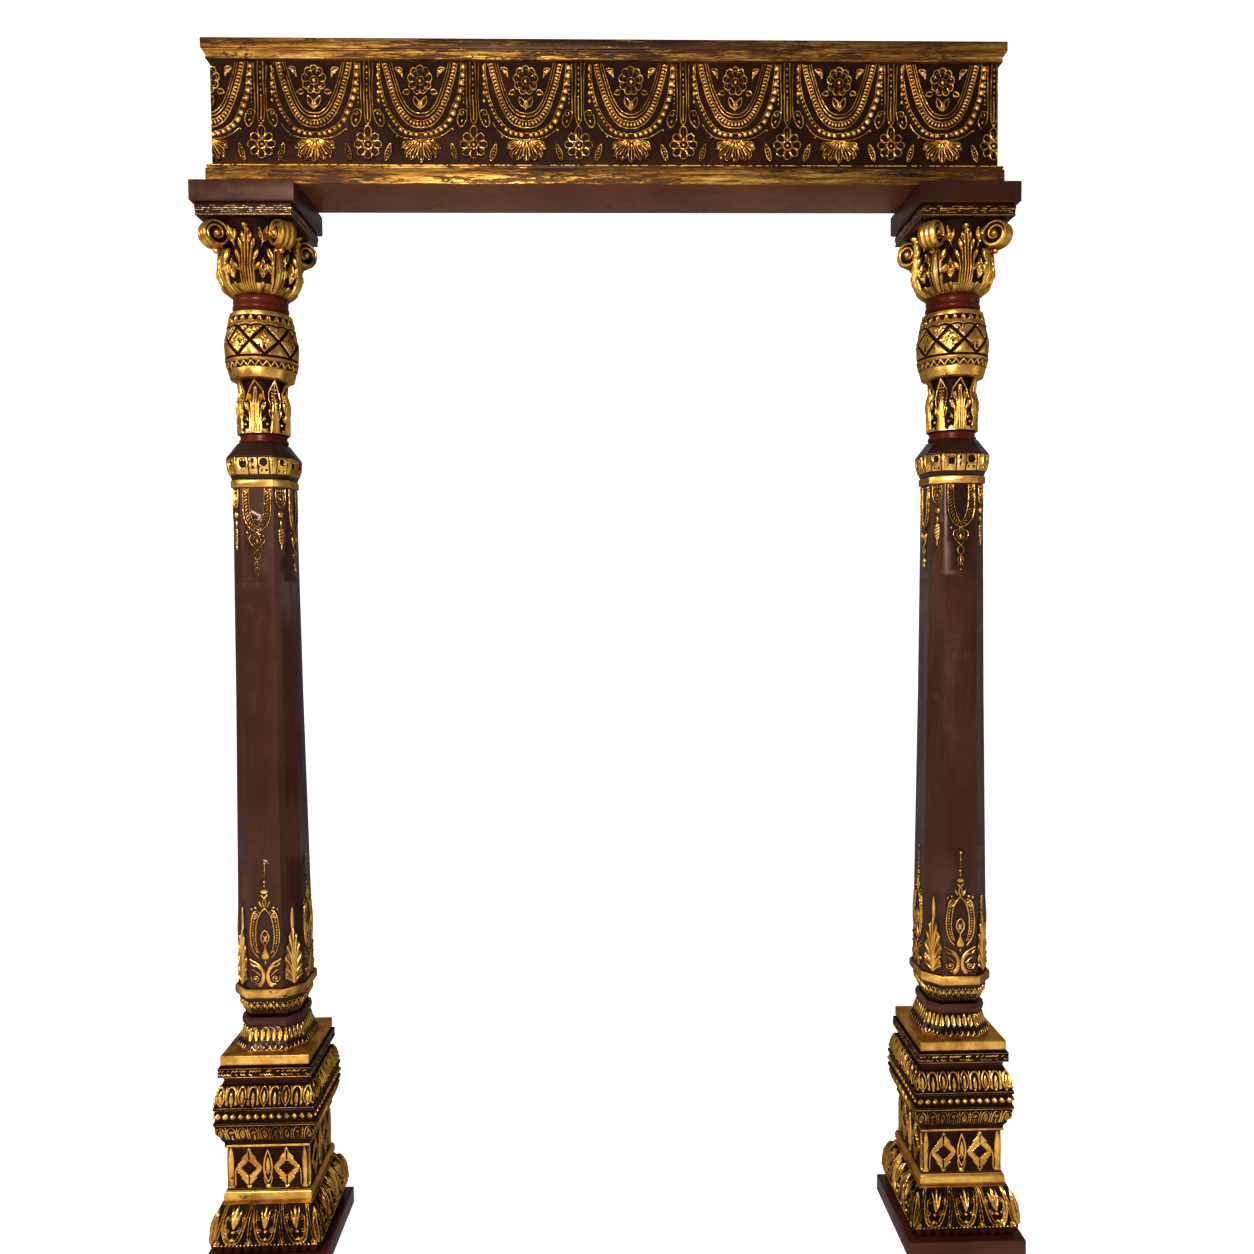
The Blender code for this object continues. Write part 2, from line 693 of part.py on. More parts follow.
def cup_leaf(a, width, low):
    """A cup leaf whose pointed tip flares out from the core."""
    half = width / 2
    reach = CUP_TIP_RADIUS - CUP_CORE_RADIUS
    outline = ((-0.60, 0.07), (0.60, 0.07), (1.0, 0.565), (0.0, 0.98), (-1.0, 0.565))
    points = [(a + half * w, low + CUP_HEIGHT * b, 0.0) for w, b in outline]
    points += [(a, low + CUP_HEIGHT * b, h) for b, h in ((0.16, 0.0030), (0.60, 0.0045), (0.91, reach))]
    return points, loop_edges(0, 5) + [(5, 6), (6, 7), (7, 3)]


def capital_solid(name):
    rows = moulding(0.0, CAPITAL_HEIGHT, BELL_RADIUS,
                    ((0, 0.0237), (0.11, 0.0067), (0.295, 0), (0.825, 0.0062), (1, -0.0088)))
    quarter = math.pi / 2
    figures = []
    for i in range(4):
        for turn, half, top in zip((1.0, 0.5), BELL_LEAF_HALVES, BELL_LEAF_TOPS):
            figures.append(bell_leaf((i + turn) * quarter, half, top * CAPITAL_HEIGHT))
    bell = round_block(name, round_profile(rows), ROUND_SIDES, figures, BELL_SEAM)
    tools = []
    for i in range(4):
        angle = (i + 0.5) * quarter
        tools += [volute_solid(angle), berry_solid(angle)]
    return unite(bell, tools)


def bell_leaf(a, half, top):
    """An upright acanthus leaf on the bell, its tip leaning out."""
    low = 0.034 * CAPITAL_HEIGHT
    height = top - low
    shape = [(0.50, 0.0), (1.0, 0.55), (0.68, 0.80)]
    points = [(a + half * w, low + height * b, 0.0) for w, b in shape]
    points.append((a, top, 0.0))
    points += [(a - half * w, low + height * b, 0.0) for w, b in reversed(shape)]
    rim = len(points)
    points += [(a, low + height * b, BELL_LEAF_RELIEF * c) for b, c in ((0.10, 0.5), (0.60, 0.8), (0.92, 1.3))]
    return points, loop_edges(0, rim) + chain_edges(rim, 3) + [(rim + 2, 3)]


def volute_solid(angle):
    """A spiral scroll at a corner: a disc with a hollowed edge and a boss on each side, and its stem."""
    shell = Shell()
    height = CAPITAL_HEIGHT - VOLUTE_RADIUS
    stations = [(-0.76, 0.45), (-1.0, 0.96)]
    stations += [(-w, r) for w, r in reversed(stations)]
    rings = []
    for across, reach in stations:
        ring = []
        for i in range(VOLUTE_SIDES):
            turn = 2 * math.pi * (i + 0.5) / VOLUTE_SIDES
            radius = VOLUTE_RADIUS * reach
            ring.append(Vector((across * VOLUTE_HALF_WIDTH, -VOLUTE_REACH - radius * math.cos(turn),
                                height + radius * math.sin(turn))))
        rings.append(ring)
    for low, high in zip(rings, rings[1:]):
        for i in range(VOLUTE_SIDES):
            j = (i + 1) % VOLUTE_SIDES
            shell.add([low[i], low[j], high[j], high[i]], [[0, 1, 2], [0, 2, 3]])
    made = shell.build("volute")
    made.matrix_world = Matrix.Rotation(angle, 4, "Z")
    return made


def berry_solid(angle):
    """The berry under a volute, an eight-sided bead."""
    shell = Shell()
    below = CAPITAL_HEIGHT - 2 * VOLUTE_RADIUS - BERRY_RADIUS / 4
    centre = Vector((0.0, -VOLUTE_REACH + BERRY_RADIUS / 2, below))
    waist = [centre + BERRY_RADIUS * Vector(point) for point in ((1, 0, 0), (0, 1, 0), (-1, 0, 0), (0, -1, 0))]
    for pole in (-1, 1):
        tip = centre + Vector((0.0, 0.0, pole * BERRY_RADIUS))
        for i in range(4):
            shell.add([waist[i], waist[(i + 1) % 4], tip], [[0, 1, 2]])
    made = shell.build("berry")
    made.matrix_world = Matrix.Rotation(angle, 4, "Z")
    return made


def abacus_solid(name):
    rows = moulding(0.0, ABACUS_MOULDING_HEIGHT, ABACUS_MOULDING_HALF,
                    ((0, 0.0028), (0.06, 0.0008), (0.16, 0.0008), (0.21, 0.0018), (0.66, 0),
                     (0.81, 0), (0.86, 0.0026), (1, 0.0026)))
    top = ABACUS_MOULDING_HEIGHT + ABACUS_SLAB_HEIGHT
    rows += [(ABACUS_MOULDING_HEIGHT, ABACUS_HALF - SLAB_EDGE), (ABACUS_MOULDING_HEIGHT + SLAB_EDGE, ABACUS_HALF),
             (top - SLAB_EDGE, ABACUS_HALF), (top, ABACUS_HALF - SLAB_EDGE)]
    return sided_block(name, square_profile(rows), [])


def bottom_board_solid(name):
    points = ((0, 0.0010), (0.024, 0), (0.79, 0), (0.79, 0.0030), (0.89, 0.0030), (0.89, 0.0015), (0.985, 0.0015), (1, 0.0022))
    return oblong_block(name, BOTTOM_BOARD_HEIGHT, BOTTOM_BOARD_HALF_LENGTH, BOTTOM_BOARD_HALF_DEPTH, points)


def top_board_solid(name):
    points = ((0, 0.0075), (0.088, 0.0065), (0.10, 0.0085), (0.19, 0.0080), (0.30, 0.0050), (0.375, 0.0045),
              (0.387, 0.0025), (0.462, 0.0025), (0.475, 0), (0.98, 0), (1, 0.0010))
    return oblong_block(name, TOP_BOARD_HEIGHT, TOP_BOARD_HALF_LENGTH, TOP_BOARD_HALF_DEPTH, points)


def level(share):
    """Height on the frieze from a share of its height, measured down."""
    return FRIEZE_HEIGHT * (1 - share)


def bay_figures(x):
    """The carving of one frieze bay: nested swags with flower, bud, palmette and two small leaves."""
    relief = FRIEZE_RELIEF
    figures = [
        band_figure(swag_path(x, INNER_SWAG_HALF, level(0.045), level(0.575), SWAG_STEPS), 0.0055, relief),
        band_figure(outer_swag(x), 0.0062, relief),
        flower_figure(x, level(0.180), 0.0265, 6, relief),
        leaf_figure(x, level(0.375), 0.0120, 0.0185, relief, math.pi, -0.2),
        fan_figure(x, level(0.765), 0.0420, level(0.970), 5, relief),
    ]
    for side in (-1, 1):
        figures.append(leaf_figure(x + side * 0.0390, level(0.130), 0.0070, 0.0130, relief, side * 0.9))
    return figures


def outer_swag(x):
    return swag_path(x, OUTER_SWAG_HALF, level(0.045), level(0.690), SWAG_STEPS)


def between_figures(x, sides):
    """Between two bays: a beaded spindle, strings with curled drops, a flower and slanting leaves."""
    relief = FRIEZE_RELIEF
    figures = [drop_figure(x, level(0.040), level(0.590), 0.0060, relief, 0.9)]
    if len(sides) == 2:
        figures.append(flower_figure(x, level(0.775), 0.0300, 6, relief))
    for side in sides:
        figures.append(drop_figure(x + side * 0.0175, level(0.050), level(0.610), 0.0072, relief, 0.45))
        figures.append(leaf_figure(x + side * 0.0415, level(0.850), 0.0070, 0.0180, relief, -side * 0.30))
    return figures


def frieze_figures():
    """Bays from end to end of the beam; the pattern runs on and is cut by both ends."""
    end = FRIEZE_HALF_LENGTH - FRIEZE_MARGIN
    x = FIRST_BAY_INSET - FRIEZE_HALF_LENGTH
    cut = [point for point in outer_swag(x - BAY_PITCH) if point[0] > -end + 0.003]
    figures = [band_figure(cut, 0.0062, FRIEZE_RELIEF)]
    while x + OUTER_SWAG_HALF < end - 0.0062:
        figures += bay_figures(x)
        figures += between_figures(x - BAY_PITCH / 2, (-1, 1))
        x += BAY_PITCH
    return figures + between_figures(x - BAY_PITCH / 2, (-1,))


def frieze_solid(name):
    length, depth = FRIEZE_HALF_LENGTH, FRIEZE_HALF_DEPTH
    ground = depth - FRIEZE_RELIEF
    shell = Shell()

    def front(a, v, height):
        return Vector((a, -(ground + height), v))

    relief_patch(shell, [(0.0, (-length, length)), (FRIEZE_HEIGHT, (-length, length))], frieze_figures(), front)
    plan = ((-length, -ground), (length, -ground), (length, depth), (-length, depth))
    corners = [Vector((a, b, z)) for z in (0.0, FRIEZE_HEIGHT) for a, b in plan]
    for i, j in ((1, 2), (2, 3), (3, 0)):
        shell.add([corners[i], corners[j], corners[j + 4], corners[i + 4]], [[0, 1, 2], [0, 2, 3]])
    return shell.build(name)


def top_of(made):
    return max((made.matrix_world @ Vector(corner))[2] for corner in made.bound_box)


def set_on(made, x, below):
    """Stands a piece at x on top of the one below it, a joint's gap above."""
    bpy.context.view_layer.update()
    made.location = (x, 0.0, top_of(below) + JOINT_GAP if below else 0.0)
    bpy.context.view_layer.update()
    return made


def build_column(side, side_name, meshes, below=None):
    """One column, stacked from the plinth to the abacus; the second shares its shapes with the first."""
    for part, made in meshes:
        if side > 0:
            made = made.copy()
            made.data = made.data.copy()
            bpy.context.scene.collection.objects.link(made)
        made.name = side_name + "_" + part
        below = set_on(made, side * COLUMN_OFFSET, below)
    return below


def build_arch():
    clear_scene()
    lacquer = material("red_brown_lacquer", (0.060, 0.018, 0.012), 0.32, 0.0)
    gilt = material("antique_gold", (0.540, 0.290, 0.065), 0.42, 0.65)
    carved = material("gilded_dark_carving", (0.250, 0.125, 0.035), 0.45, 0.35)
    makers = (("plinth", plinth_solid, lacquer), ("pedestal", pedestal_solid, carved), ("pedestal_cap", cap_solid, gilt),
              ("shaft", shaft_solid, lacquer), ("neck", neck_solid, carved), ("capital", capital_solid, carved),
              ("abacus", abacus_solid, lacquer))
    pieces = [(part, finish(maker(part), shared)) for part, maker, shared in makers]
    below = build_column(-1, "left", pieces)
    build_column(1, "right", pieces)
    below = set_on(finish(bottom_board_solid("lintel_bottom_board"), gilt), 0.0, below)
    below = set_on(finish(frieze_solid("lintel_frieze_beam"), carved), 0.0, below)
    set_on(finish(top_board_solid("lintel_top_board"), gilt), 0.0, below)


build_arch()
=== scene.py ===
"""Carved wooden entrance arch: the carving, red-brown lacquer and worn antique gold of its pieces.

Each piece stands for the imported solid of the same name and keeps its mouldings. The carved pieces are closed
skins: rings of points round the moulding, pushed out by relief that is drawn in millimetres on one face.
"""

import math

import bpy
import numpy as np
from mathutils import Matrix, Vector


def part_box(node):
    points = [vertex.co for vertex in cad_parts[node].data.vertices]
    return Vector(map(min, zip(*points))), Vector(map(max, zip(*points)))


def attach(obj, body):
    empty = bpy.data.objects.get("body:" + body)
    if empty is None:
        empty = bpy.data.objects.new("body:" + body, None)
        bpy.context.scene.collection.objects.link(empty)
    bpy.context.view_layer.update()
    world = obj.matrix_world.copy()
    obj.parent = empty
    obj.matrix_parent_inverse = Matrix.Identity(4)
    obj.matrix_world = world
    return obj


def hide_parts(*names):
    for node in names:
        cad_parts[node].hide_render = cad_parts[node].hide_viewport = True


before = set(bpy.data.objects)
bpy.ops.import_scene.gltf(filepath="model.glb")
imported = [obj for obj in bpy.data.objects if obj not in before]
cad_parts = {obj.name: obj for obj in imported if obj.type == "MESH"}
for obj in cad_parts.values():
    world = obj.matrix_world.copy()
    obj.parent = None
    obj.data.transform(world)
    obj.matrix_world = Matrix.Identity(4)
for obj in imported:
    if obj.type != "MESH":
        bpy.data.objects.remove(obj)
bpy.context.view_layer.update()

MM = 0.001
GRID = 0.9
WHOLE = (slice(None), slice(None))

# From the arch's middle to the middle of a column
COLUMN_OFFSET = 0.7696
# How far round a point the relief has to rise over it, and by how much, for full painted shade: the hollow
# value that darkens colour in recesses where shade falls
RECESS_SHADE_REACH = 3.0 * MM
RECESS_SHADE_DEPTH = 0.9 * MM
# The volutes and berries, from the middle of the column out and from the capital's foot up
VOLUTE_RADIUS, VOLUTE_HALF_WIDTH = 0.0288, 0.0163
VOLUTE_OUT, VOLUTE_UP = 0.1022, 0.1182
VOLUTE_TURNS = 1.9
BERRY_RADIUS, BERRY_OUT, BERRY_UP = 0.0068, 0.0976, 0.0850
# Reflections on lacquer and gold are warm
WARM_SHEEN = (1.0, 0.62, 0.45, 1.0)

# Most triangles of a finished piece, and of the bell in a capital
FRIEZE_BUDGET = 190000
PEDESTAL_BUDGET = 100000
SHAFT_BUDGET = 80000
NECK_BUDGET = 70000
BELL_BUDGET = 55000
CAP_BUDGET = 20000
ABACUS_BUDGET = 16000


# Drawing relief

def smooth_noise(shape, cells, seed):
    """Smooth random values from -1 to 1 over a grid."""
    rng = np.random.default_rng(seed)
    coarse = rng.uniform(-1, 1, (cells[0] + 2, cells[1] + 2))
    rows = np.linspace(0, cells[0], shape[0])
    columns = np.linspace(0, cells[1], shape[1])
    i, j = rows.astype(int), columns.astype(int)
    a, b = rows - i, columns - j
    a, b = (a * a * (3 - 2 * a))[:, None], (b * b * (3 - 2 * b))[None, :]
    low = coarse[np.ix_(i, j)] * (1 - b) + coarse[np.ix_(i, j + 1)] * b
    high = coarse[np.ix_(i + 1, j)] * (1 - b) + coarse[np.ix_(i + 1, j + 1)] * b
    return low * (1 - a) + high * a


def curve(points):
    """A smooth line through points, eight steps to each stretch."""
    points = np.array(points, float)
    padded = np.vstack([2 * points[0] - points[1], points, 2 * points[-1] - points[-2]])
    made = [points[:1]]
    t = np.linspace(0, 1, 9)[1:, None]
    for a, b, c, d in zip(padded, padded[1:], padded[2:], padded[3:]):
        made.append(0.5 * ((2 * b) + (c - a) * t + (2 * a - 5 * b + 4 * c - d) * t ** 2
                           + (3 * b - a - 3 * c + d) * t ** 3))
    return np.vstack(made)


def scroll(x, z, outer, inner, start, turns, steps=30):
    """A spiral round a centre, from the outer radius in; turns is negative for the other hand."""
    t = np.linspace(0, 1, steps + 1)
    radius = outer + (inner - outer) * t ** 0.8
    angle = start + 2 * math.pi * turns * t
    return np.stack([x + radius * np.cos(angle), z + radius * np.sin(angle)], 1)


def hanging(half, top, bottom, power=2.3, steps=28, middle=0.0):
    """A hanging swag line between two points at one height."""
    t = np.linspace(-1, 1, steps + 1)
    side = np.sign(t) * np.abs(t) ** 0.85
    return np.stack([middle + half * side, bottom + (top - bottom) * np.abs(side) ** power], 1)


def along_line(points, pitch):
    """Points and directions at an even pitch along a line."""
    steps = np.hypot(*np.diff(points, axis=0).T)
    length = np.concatenate([[0], np.cumsum(steps)])
    count = max(1, int(round(length[-1] / pitch)))
    at = (np.arange(count) + 0.5) * length[-1] / count
    x, z = np.interp(at, length, points[:, 0]), np.interp(at, length, points[:, 1])
    index = np.clip(np.searchsorted(length, at) - 1, 0, len(steps) - 1)
    step = points[index + 1] - points[index]
    return list(zip(x, z, np.arctan2(step[:, 0], step[:, 1])))


class Relief:
    """Height and gold over a patch. Sizes are millimetres: x across from its middle, z up from its foot."""

    def __init__(self, x, z):
        self.x, self.z = (np.array(a) for a in np.broadcast_arrays(x, z))
        self.height = np.zeros(self.x.shape)
        self.gold = np.zeros(self.x.shape)
        self.ground = np.zeros(self.x.shape)
        self.bold = 1.0

    def window(self, low_x, high_x, low_z, high_z):
        rows = np.nonzero((self.z[:, 0] > low_z) & (self.z[:, 0] < high_z))[0]
        if len(rows) < 1:
            return None
        middle = self.x[rows[len(rows) // 2]]
        columns = np.nonzero((middle > low_x - 1) & (middle < high_x + 1))[0]
        if len(columns) < 1:
            return None
        return slice(rows[0], rows[-1] + 1), slice(columns[0], columns[-1] + 1)

    def raise_to(self, w, height, gold):
        over = height > self.height[w]
        self.height[w] = np.where(over, height, self.height[w])
        self.gold[w] = np.where(over, gold, self.gold[w])

    def bead(self, x, z, across, along, height, turn=0.0, square=2.0, gold=1.0):
        """A bead; turn leans its length from upright towards +x, square above 2 makes it boxier."""
        reach = 1.3 * max(across, along)
        w = self.window(x - reach, x + reach, z - reach, z + reach)
        if w is None:
            return
        dx, dz = self.x[w] - x, self.z[w] - z
        b = dx * math.cos(turn) - dz * math.sin(turn)
        a = dx * math.sin(turn) + dz * math.cos(turn)
        far = (np.abs(a / along) ** square + np.abs(b / across) ** square) ** (1 / square)
        self.raise_to(w, np.where(far < 1, height * np.sqrt(np.clip(1 - far ** 2, 0, 1)), -1),
                      gold * np.clip((1.0 - far) * min(across, along) / 0.6 + 0.35, 0, 1))

    def line(self, points, width, height, gold=1.0, taper=0.0):
        """A rounded ridge of half width along a line; taper thins it towards its end."""
        points = np.asarray(points, float)
        width = width * self.bold
        low, high = points.min(0) - width, points.max(0) + width
        w = self.window(low[0], high[0], low[1], high[1])
        if w is None:
            return
        x, z = self.x[w], self.z[w]
        near, share = np.full(x.shape, 1e9), np.zeros(x.shape)
        count = len(points) - 1
        for i in range(count):
            (ax, az), (bx, bz) = points[i], points[i + 1]
            dx, dz = bx - ax, bz - az
            t = np.clip(((x - ax) * dx + (z - az) * dz) / (dx * dx + dz * dz + 1e-12), 0, 1)
            d = np.hypot(x - ax - t * dx, z - az - t * dz)
            closer = d < near
            near = np.where(closer, d, near)
            share = np.where(closer, (i + t) / count, share)
        half = width * (1 - taper * share)
        far = near / half
        self.raise_to(w, np.where(far < 1, height * (1 - taper * share * 0.5)
                                  * np.sqrt(np.clip(1 - far ** 2, 0, 1)), -1),
                      gold * np.clip((1.0 - far) * half / 0.6 + 0.35, 0, 1))

    def beads(self, points, pitch, across, along, height, square=2.0):
        """A row of beads at an even pitch along a line."""
        for x, z, turn in along_line(np.asarray(points, float), pitch):
            self.bead(x, z, across, along, height, turn, square)

    def leaf(self, x, z, turn, length, width, height, rim=1.3, inner=0.35, vein=0.0, belly=0.8, round_=0.7,
             inner_gold=0.0):
        """A leaf or petal from its base: a raised rim round a hollow, with a vein in it."""
        reach = length + width
        rim = rim * self.bold
        w = self.window(x - reach, x + reach, z - reach, z + reach)
        if w is None:
            return
        dx, dz = self.x[w] - x, self.z[w] - z
        a = (dx * math.sin(turn) + dz * math.cos(turn)) / length
        b = dx * math.cos(turn) - dz * math.sin(turn)
        s = np.clip(a, 1e-4, 1)
        half = width * np.sin(math.pi * np.clip(s ** belly, 0, 1)) ** round_
        edge = np.minimum(half - np.abs(b), (1 - a) * length * 0.9)
        inside = (edge > 0) & (a > 0)
        shape = np.sqrt(np.clip(1 - ((edge - rim) / rim) ** 2, 0, 1))
        shape = np.where(edge > 2 * rim, 0, shape)
        gold = np.clip(shape * 1.6 - 0.2, 0, 1)
        hollow = inner * (0.75 + 0.25 * np.clip(s, 0, 1))
        shape = np.where(edge > rim, np.maximum(shape, hollow), shape)
        gold = np.where((edge > 1.8 * rim), np.maximum(gold, inner_gold), gold)
        if vein > 0:
            mid = np.sqrt(np.clip(1 - (b / vein) ** 2, 0, 1)) * np.clip((1 - a) * 4, 0, 1)
            shape = np.maximum(shape, 0.85 * mid)
            gold = np.maximum(gold, np.clip(mid * 1.5 - 0.2, 0, 1))
        self.raise_to(w, np.where(inside, height * shape, -1), gold)

    def rosette(self, x, z, across, along, count, width, height):
        """The scalloped outline of a flower."""
        points = []
        for i in range(count * 8 + 1):
            turn = 2 * math.pi * i / (count * 8)
            reach = 0.80 + 0.20 * abs(math.cos(count * turn / 2)) ** 0.6
            points.append((x + across * reach * math.sin(turn), z + along * reach * math.cos(turn)))
        self.line(points, width, height)

    def ring(self, x, z, radius, width, height):
        """A round ridge."""
        angle = np.linspace(0, 2 * math.pi, 25)
        self.line(np.stack([x + radius * np.cos(angle), z + radius * np.sin(angle)], 1), width, height)

    def body(self, outline, height, edge=2.0, middle=0.0, gold=1.0):
        """A broad smooth leaf from (height up, half width) pairs."""
        ups, halves = zip(*outline)
        half = np.interp(self.z, ups, halves, left=-1, right=-1)
        far = half - np.abs(self.x - middle)
        rounded = np.sqrt(np.clip(1 - (1 - np.clip(far / edge, 0, 1)) ** 2, 0, 1))
        self.raise_to(WHOLE, np.where(far > 0, height * rounded, -1),
                      gold * np.clip(far / 0.7 + 0.3, 0, 1))

    def plate(self, low_x, high_x, low_z, high_z, height):
        """A flat raised field."""
        far = np.minimum(np.minimum(self.x - low_x, high_x - self.x),
                         np.minimum(self.z - low_z, high_z - self.z))
        self.raise_to(WHOLE, np.where(far > 0, height * np.clip(far / 0.8, 0, 1) ** 0.5, -1),
                      np.clip(far / 0.6 + 0.2, 0, 1))

    def hole(self, x, z, across, along, depth, square=2.0):
        """A dark sunk hole."""
        w = self.window(x - across, x + across, z - along, z + along)
        if w is None:
            return
        far = (np.abs((self.x[w] - x) / across) ** square
               + np.abs((self.z[w] - z) / along) ** square) ** (1 / square)
        deep = np.clip((1 - far) * min(across, along) / 1.2, 0, 1)
        self.height[w] -= depth * deep
        self.gold[w] = np.minimum(self.gold[w], 1 - np.clip(deep * 2, 0, 1))

    def cut(self, points, width, depth, gold=0.0):
        """A groove along a line."""
        points = np.asarray(points, float)
        low, high = points.min(0) - width, points.max(0) + width
        w = self.window(low[0], high[0], low[1], high[1])
        if w is None:
            return
        x, z = self.x[w], self.z[w]
        near = np.full(x.shape, 1e9)
        for (ax, az), (bx, bz) in zip(points, points[1:]):
            dx, dz = bx - ax, bz - az
            t = np.clip(((x - ax) * dx + (z - az) * dz) / (dx * dx + dz * dz + 1e-12), 0, 1)
            near = np.minimum(near, np.hypot(x - ax - t * dx, z - az - t * dz))
        deep = np.clip(1 - (near / width) ** 2, 0, 1)
        self.height[w] = self.height[w] - depth * deep
        self.gold[w] = np.minimum(self.gold[w], 1 - (1 - gold) * np.clip(deep * 1.6, 0, 1))


# Closed skins

def blurred(values, radius):
    """A box blur, done three times."""
    radius = max(1, int(radius))
    for axis in (0, 1):
        for _ in range(2):
            width = [(0, 0), (0, 0)]
            width[axis] = (radius + 1, radius)
            total = np.cumsum(np.pad(values, width, mode="edge"), axis=axis)
            low = [slice(None), slice(None)]
            high = [slice(None), slice(None)]
            high[axis] = slice(2 * radius + 1, None)
            low[axis] = slice(0, -2 * radius - 1)
            values = (total[tuple(high)] - total[tuple(low)]) / (2 * radius + 1)
    return values


def mesh_piece(name, points, quads, triangles, values):
    """A mesh object from arrays, with one value per point under each name."""
    mesh = bpy.data.meshes.new(name)
    mesh.vertices.add(len(points))
    mesh.vertices.foreach_set("co", points.astype(np.float32).ravel())
    corners = np.concatenate([quads.ravel(), triangles.ravel()]).astype(np.int32)
    sizes = np.concatenate([np.full(len(quads), 4), np.full(len(triangles), 3)])
    mesh.loops.add(len(corners))
    mesh.loops.foreach_set("vertex_index", corners)
    mesh.polygons.add(len(sizes))
    mesh.polygons.foreach_set("loop_start", (np.cumsum(sizes) - sizes).astype(np.int32))
    mesh.update(calc_edges=True)
    mesh.validate()
    for key, value in values.items():
        mesh.attributes.new(key, "FLOAT", "POINT").data.foreach_set("value", value.astype(np.float32).ravel())
    made = bpy.data.objects.new(name, mesh)
    bpy.context.scene.collection.objects.link(made)
    return made


def only(made):
    """Selects one piece alone."""
    bpy.ops.object.select_all(action="DESELECT")
    made.select_set(True)
    bpy.context.view_layer.objects.active = made
    return made


def thinned(made, most):
    """Decimates a piece to at most so many triangles."""
    count = sum(len(p.vertices) - 2 for p in made.data.polygons)
    only(made)
    if count > most:
        thin = made.modifiers.new("thin", "DECIMATE")
        thin.ratio = most / count * 0.99
        bpy.ops.object.modifier_apply(modifier=thin.name)
    return made


def evened(made):
    """Lets the broad faces set the shading, so that flat ground stays flat beside the relief."""
    only(made)
    even = made.modifiers.new("even_shading", "WEIGHTED_NORMAL")
    even.keep_sharp = True
    even.weight = 80
    bpy.ops.object.modifier_apply(modifier=even.name)


def ring_quads(rows, count):
    """Faces between rings of so many points, one above the other."""
    i, j = np.meshgrid(np.arange(rows - 1), np.arange(count), indexing="ij")
    k = (j + 1) % count
    return np.stack([i * count + j, i * count + k, (i + 1) * count + k, (i + 1) * count + j],
                    -1).reshape(-1, 4)


def rings_piece(name, rings, values, most, angle=45):
    """A closed skin from rings of points, one above the other, with a fan of faces at each end."""
    rows, columns = rings.shape[:2]
    quads = ring_quads(rows, columns)
    points = np.vstack([rings.reshape(-1, 3), rings[0].mean(0), rings[-1].mean(0)])
    first, last = rows * columns, rows * columns + 1
    j = np.arange(columns)
    k = (j + 1) % columns
    low = np.stack([k, j, np.full(columns, first)], 1)
    high = np.stack([(rows - 1) * columns + j, (rows - 1) * columns + k, np.full(columns, last)], 1)
    flat = {key: np.concatenate([value.ravel(), [value[0].mean(), value[-1].mean()]])
            for key, value in values.items()}
    made = mesh_piece(name, points, quads, np.vstack([low, high]), flat)
    thinned(made, most)
    bpy.ops.object.shade_smooth_by_angle(angle=math.radians(angle))
    return made


def filled_rows(rows, step):
    """Adds rows between a moulding's rows (height, half width, ...), no further than a step apart."""
    made = [rows[0]]
    for low, high in zip(rows, rows[1:]):
        low, high = np.array(low, float), np.array(high, float)
        count = max(1, int(math.ceil(np.hypot(*(high - low)[:2]) / step)))
        made += [low + (high - low) * (n / count) for n in range(1, count + 1)]
    return np.array(made, float)


def turned_four(face_x, face_y, z, values):
    """Rings from one quarter of the piece, turned to its four sides. The first and last columns meet."""
    x, y, z = (np.broadcast_to(a, face_x.shape)[:, :-1] for a in (face_x, face_y, z))
    sides = [(x, y), (-y, x), (-x, -y), (y, -x)]
    rings = np.concatenate([np.stack([a, b, z], -1) for a, b in sides], 1)
    return rings, {key: np.concatenate([value[:, :-1]] * 4, 1) for key, value in values.items()}


class Moulding:
    """Bands of a moulding stacked from the foot up, each drawn in its own millimetres."""

    def __init__(self, section, step):
        self.section, self.step = section, step
        self.bands = []
        self.top = 0.0

    def band(self, rows, draw=None, step=None, gold=0.0, ground=0.0):
        """Adds a band; rows are (height over its foot, half width, ...) and draw gets its Relief."""
        rows = filled_rows(rows, (step or self.step))
        self.bands.append((self.top, rows, draw, gold, ground))
        self.top += rows[:, 0].max()

    def arrays(self):
        parts = []
        for foot, rows, draw, gold, ground in self.bands:
            part = self.section(rows)
            reliefs = []
            for x, face_draw in zip(part["drawn"], draw if isinstance(draw, tuple) else (draw, None)):
                relief = Relief(x * 1000, rows[:, :1] * 1000)
                relief.gold += gold
                relief.ground += ground
                if face_draw:
                    face_draw(relief)
                reliefs.append(relief)
            height = np.concatenate([r.height for r in reliefs], 1) * MM
            parts.append({
                "x": part["base"][0] + part["out"][0] * height,
                "y": part["base"][1] + part["out"][1] * height,
                "z": np.broadcast_to(rows[:, :1] + foot, height.shape), "height": height,
                "gold": np.concatenate([r.gold for r in reliefs], 1),
                "ground": np.concatenate([r.ground for r in reliefs], 1)})
        return {key: np.concatenate([part[key] for part in parts], 0) for key in parts[0]}


def square_section(columns):
    """Sections of a square piece: rows are (height, half width)."""
    across = np.linspace(-1, 1, columns)[None, :]

    def section(rows):
        half = rows[:, 1:2]
        return {"base": (across * half, -half + 0 * across), "out": (across, -1.0 + 0 * across),
                "drawn": [across * half]}

    return section


